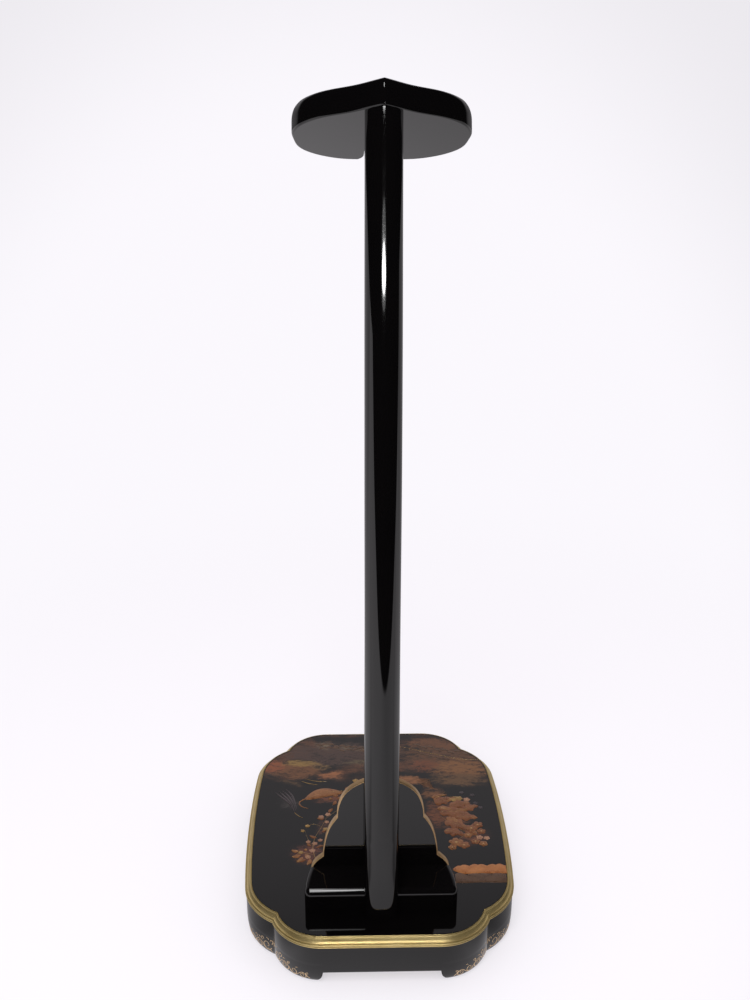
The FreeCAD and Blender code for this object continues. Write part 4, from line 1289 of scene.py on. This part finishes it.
# ------------------------------------------------------------------ stage: floor, world, lights, camera
def painted_corner_shade(nt, win):
    """painted shade: the backdrop a little darker toward the upper corners"""
    v = N(nt, "ShaderNodeVectorMath", operation="SUBTRACT")
    v.inputs[1].default_value = (0.45, 0.35, 0.0)
    L(nt, win, v.inputs[0])
    q = N(nt, "ShaderNodeVectorMath", operation="LENGTH")
    L(nt, v.outputs[0], q.inputs[0])
    return remap(nt, q.outputs["Value"], 0.50, 0.86, 1.0, 0.87, True)


bm = bmesh.new()
bmesh.ops.create_circle(bm, cap_ends=True, segments=96, radius=9.0)
fl_me = bpy.data.meshes.new("stage_floor")
bm.to_mesh(fl_me)
bm.free()
floor = bpy.data.objects.new("stage_floor", fl_me)
SC.collection.objects.link(floor)
floor.location = (0, 0, -0.0004)
fm_ = bpy.data.materials.new("stage_floor")
fm_.use_nodes = True
nt = fm_.node_tree
nt.nodes.clear()
out = N(nt, "ShaderNodeOutputMaterial")
dif = N(nt, "ShaderNodeBsdfDiffuse")
dif.inputs["Color"].default_value = (0.88, 0.86, 0.90, 1)
geo = N(nt, "ShaderNodeNewGeometry")
sep = N(nt, "ShaderNodeSeparateXYZ")
L(nt, geo.outputs["Position"], sep.inputs[0])
ln = N(nt, "ShaderNodeVectorMath", operation="LENGTH")
L(nt, geo.outputs["Position"], ln.inputs[0])
BG = (0.965, 0.941, 0.985)
em = N(nt, "ShaderNodeEmission")
em.inputs["Color"].default_value = (*BG, 1)
wnd = N(nt, "ShaderNodeTexCoord")
# the floor's glow for camera rays carries the painted corner shade
L(nt, painted_corner_shade(nt, wnd.outputs["Window"]), em.inputs["Strength"])
cam_mix = N(nt, "ShaderNodeMixShader")
fade = remap(nt, ln.outputs["Value"], 0.30, 1.0, 0.55, 1.0, True)
L(nt, fade, cam_mix.inputs[0])
L(nt, dif.outputs[0], cam_mix.inputs[1])
L(nt, em.outputs[0], cam_mix.inputs[2])
# what the lacquer mirrors: a white table that ends behind the stand, then a dark room
em2 = N(nt, "ShaderNodeEmission")
edge_d = mathn(nt, "SUBTRACT", mathn(nt, "MULTIPLY", sep.outputs["X"], 0.276),
               mathn(nt, "MULTIPLY", sep.outputs["Y"], 0.961))
tab = remap(nt, edge_d, 0.585, 0.615, 1.0, 0.0, True)
# painted light: the mirrored table glows dimmer farther back and toward the right, standing in for how the lamps fall
# on it
far_ = remap(nt, sep.outputs["Y"], -0.15, 0.45, 0.86, 0.52, True)
far_ = mathn(nt, "MULTIPLY", far_, remap(nt, sep.outputs["X"], -0.18, 0.22, 1.1, 0.82, True))
L(nt, mix_rgb(nt, tab, (0.008, 0.008, 0.009), (1.0, 0.965, 1.0)), em2.inputs["Color"])
# painted shadow: the mirrored table darkens in strips beside the base's long sides and in a band just in front of the
# base's end nearest the camera
absx = mathn(nt, "ABSOLUTE", sep.outputs["X"], 0.0)
side = mathn(nt, "ADD", remap(nt, absx, 0.095, 0.13, 1.0, 0.42, True), remap(nt, absx, 0.13, 0.40, 0.0, 0.58, True))
near_shade = mathn(nt, "ADD", remap(nt, sep.outputs["Y"], -0.19, -0.15, 0.84, 1.0, True),
              remap(nt, sep.outputs["Y"], -0.30, -0.19, 0.16, 0.0, True))
shade_zone = mathn(nt, "MULTIPLY", remap(nt, sep.outputs["Y"], -0.27, -0.19, 0.0, 1.0, True),
             remap(nt, sep.outputs["Y"], 0.05, 0.15, 1.0, 0.0, True))
side = mathn(nt, "SUBTRACT", 1.0, mathn(nt, "MULTIPLY", shade_zone, mathn(nt, "SUBTRACT", 1.0, side)))
far_ = mathn(nt, "MULTIPLY", far_, mathn(nt, "MULTIPLY", side, near_shade))
L(nt, mathn(nt, "MAXIMUM", far_, 0.05), em2.inputs["Strength"])
lp = N(nt, "ShaderNodeLightPath")
gl = N(nt, "ShaderNodeMixShader")
L(nt, lp.outputs["Is Glossy Ray"], gl.inputs[0])
L(nt, cam_mix.outputs[0], gl.inputs[1])
L(nt, em2.outputs[0], gl.inputs[2])
L(nt, gl.outputs[0], out.inputs["Surface"])
fl_me.materials.append(fm_)

world = bpy.data.worlds.new("studio")
SC.world = world
world.use_nodes = True
nt = world.node_tree
nt.nodes.clear()
out = N(nt, "ShaderNodeOutputWorld")
tc = N(nt, "ShaderNodeTexCoord")
sep = N(nt, "ShaderNodeSeparateXYZ")
L(nt, tc.outputs["Generated"], sep.inputs[0])
lp = N(nt, "ShaderNodeLightPath")
front_ = remap(nt, sep.outputs["Y"], 0.62, 0.80, 0.0, 1.0, True)
high = remap(nt, sep.outputs["Z"], 0.70, 0.76, 1.0, 0.0, True)
low = remap(nt, sep.outputs["Z"], 0.02, 0.30, 0.32, 1.0, True)
glossy = mix_rgb(nt, mathn(nt, "MULTIPLY", mathn(nt, "MULTIPLY", front_, high), low), (0.006, 0.006, 0.007),
                 (0.47, 0.45, 0.47))
diffuse = (0.80, 0.775, 0.79)
c1 = mix_rgb(nt, lp.outputs["Is Glossy Ray"], diffuse, glossy)
# camera background: the backdrop colour with the same painted corner shade
cam_bg = mix_rgb(nt, painted_corner_shade(nt, tc.outputs["Window"]), (0.0, 0.0, 0.0), BG)
c2 = mix_rgb(nt, lp.outputs["Is Camera Ray"], c1, cam_bg)
bg = N(nt, "ShaderNodeBackground")
L(nt, c2, bg.inputs["Color"])
bg.inputs["Strength"].default_value = 1.0
L(nt, bg.outputs[0], out.inputs["Surface"])


def area(name, loc, target, size, size_y, power, shape="ELLIPSE", colour=(1, 1, 1), spec=1.0, diff=1.0):
    ld = bpy.data.lights.new(name, "AREA")
    ld.shape = shape
    ld.size, ld.size_y = size, size_y
    ld.energy = power
    ld.color = colour
    ld.specular_factor = spec
    ld.diffuse_factor = diff
    o_ = bpy.data.objects.new(name, ld)
    o_.location = loc
    o_.rotation_euler = (Vector(target) - Vector(loc)).to_track_quat("-Z", "Y").to_euler()
    SC.collection.objects.link(o_)
    o_.visible_camera = False
    o_.visible_glossy = spec > 0
    return o_


area("lamp_behind", (-0.03, -2.9, 0.876), (0, 0, 0.60), 1.1, 0.125, 11.0)
area("lamp_glow", (-0.03, -2.95, 0.88), (0, 0, 0.60), 1.4, 0.27, 1.4)
area("lamp_slit", (-0.02, -2.9, 1.25), (0, 0, 0.69), 0.8, 0.036, 1.3)
area("lamp_left", (-0.17, -0.66, 1.78), (-0.02, -0.12, 0.06), 0.42, 0.46, 4.0)
edge_lamp = area("lamp_edge", (-0.27, -0.36, 1.45), (-0.27, -0.12, 0.05), 0.60, 2.1, 15.0, "ELLIPSE", diff=0.0)
only = bpy.data.collections.new("lit_by_lamp_edge")
only.objects.link(bpy.data.objects["socket_block_lacquered"])
edge_lamp.light_linking.receiver_collection = only
for nm in ("lamp_behind", "lamp_glow", "lamp_slit"):
    skip = bpy.data.collections.new("not_lit_by_" + nm)
    skip.objects.link(bpy.data.objects["socket_block_lacquered"])
    skip.collection_objects[0].light_linking.link_state = "EXCLUDE"
    bpy.data.objects[nm].light_linking.receiver_collection = skip
area("soft_top", (0.2, 0.35, 2.2), (0, 0, 0), 1.6, 1.6, 5.0, "DISK", spec=0.0)
area("fill_behind", (-0.35, -1.35, 1.5), (0, -0.05, 0.05), 1.1, 1.1, 11.0, "DISK", spec=0.0)

cam_d = bpy.data.cameras.new("camera")
cam = bpy.data.objects.new("camera", cam_d)
SC.collection.objects.link(cam)
cam.location = (-0.027, -0.898, 0.688 + TOP * MM)
cam.rotation_euler = (Euler((math.radians(68.2), 0, math.radians(-1.51))).to_matrix()
                      @ Matrix.Rotation(math.radians(0.2), 3, "Z")).to_euler()
cam_d.lens = 41.4
cam_d.sensor_width = 36.0
cam_d.clip_start = 0.01
SC.camera = cam
SC.view_settings.view_transform = "Standard"
SC.view_settings.look = "None"

bpy.context.view_layer.update()
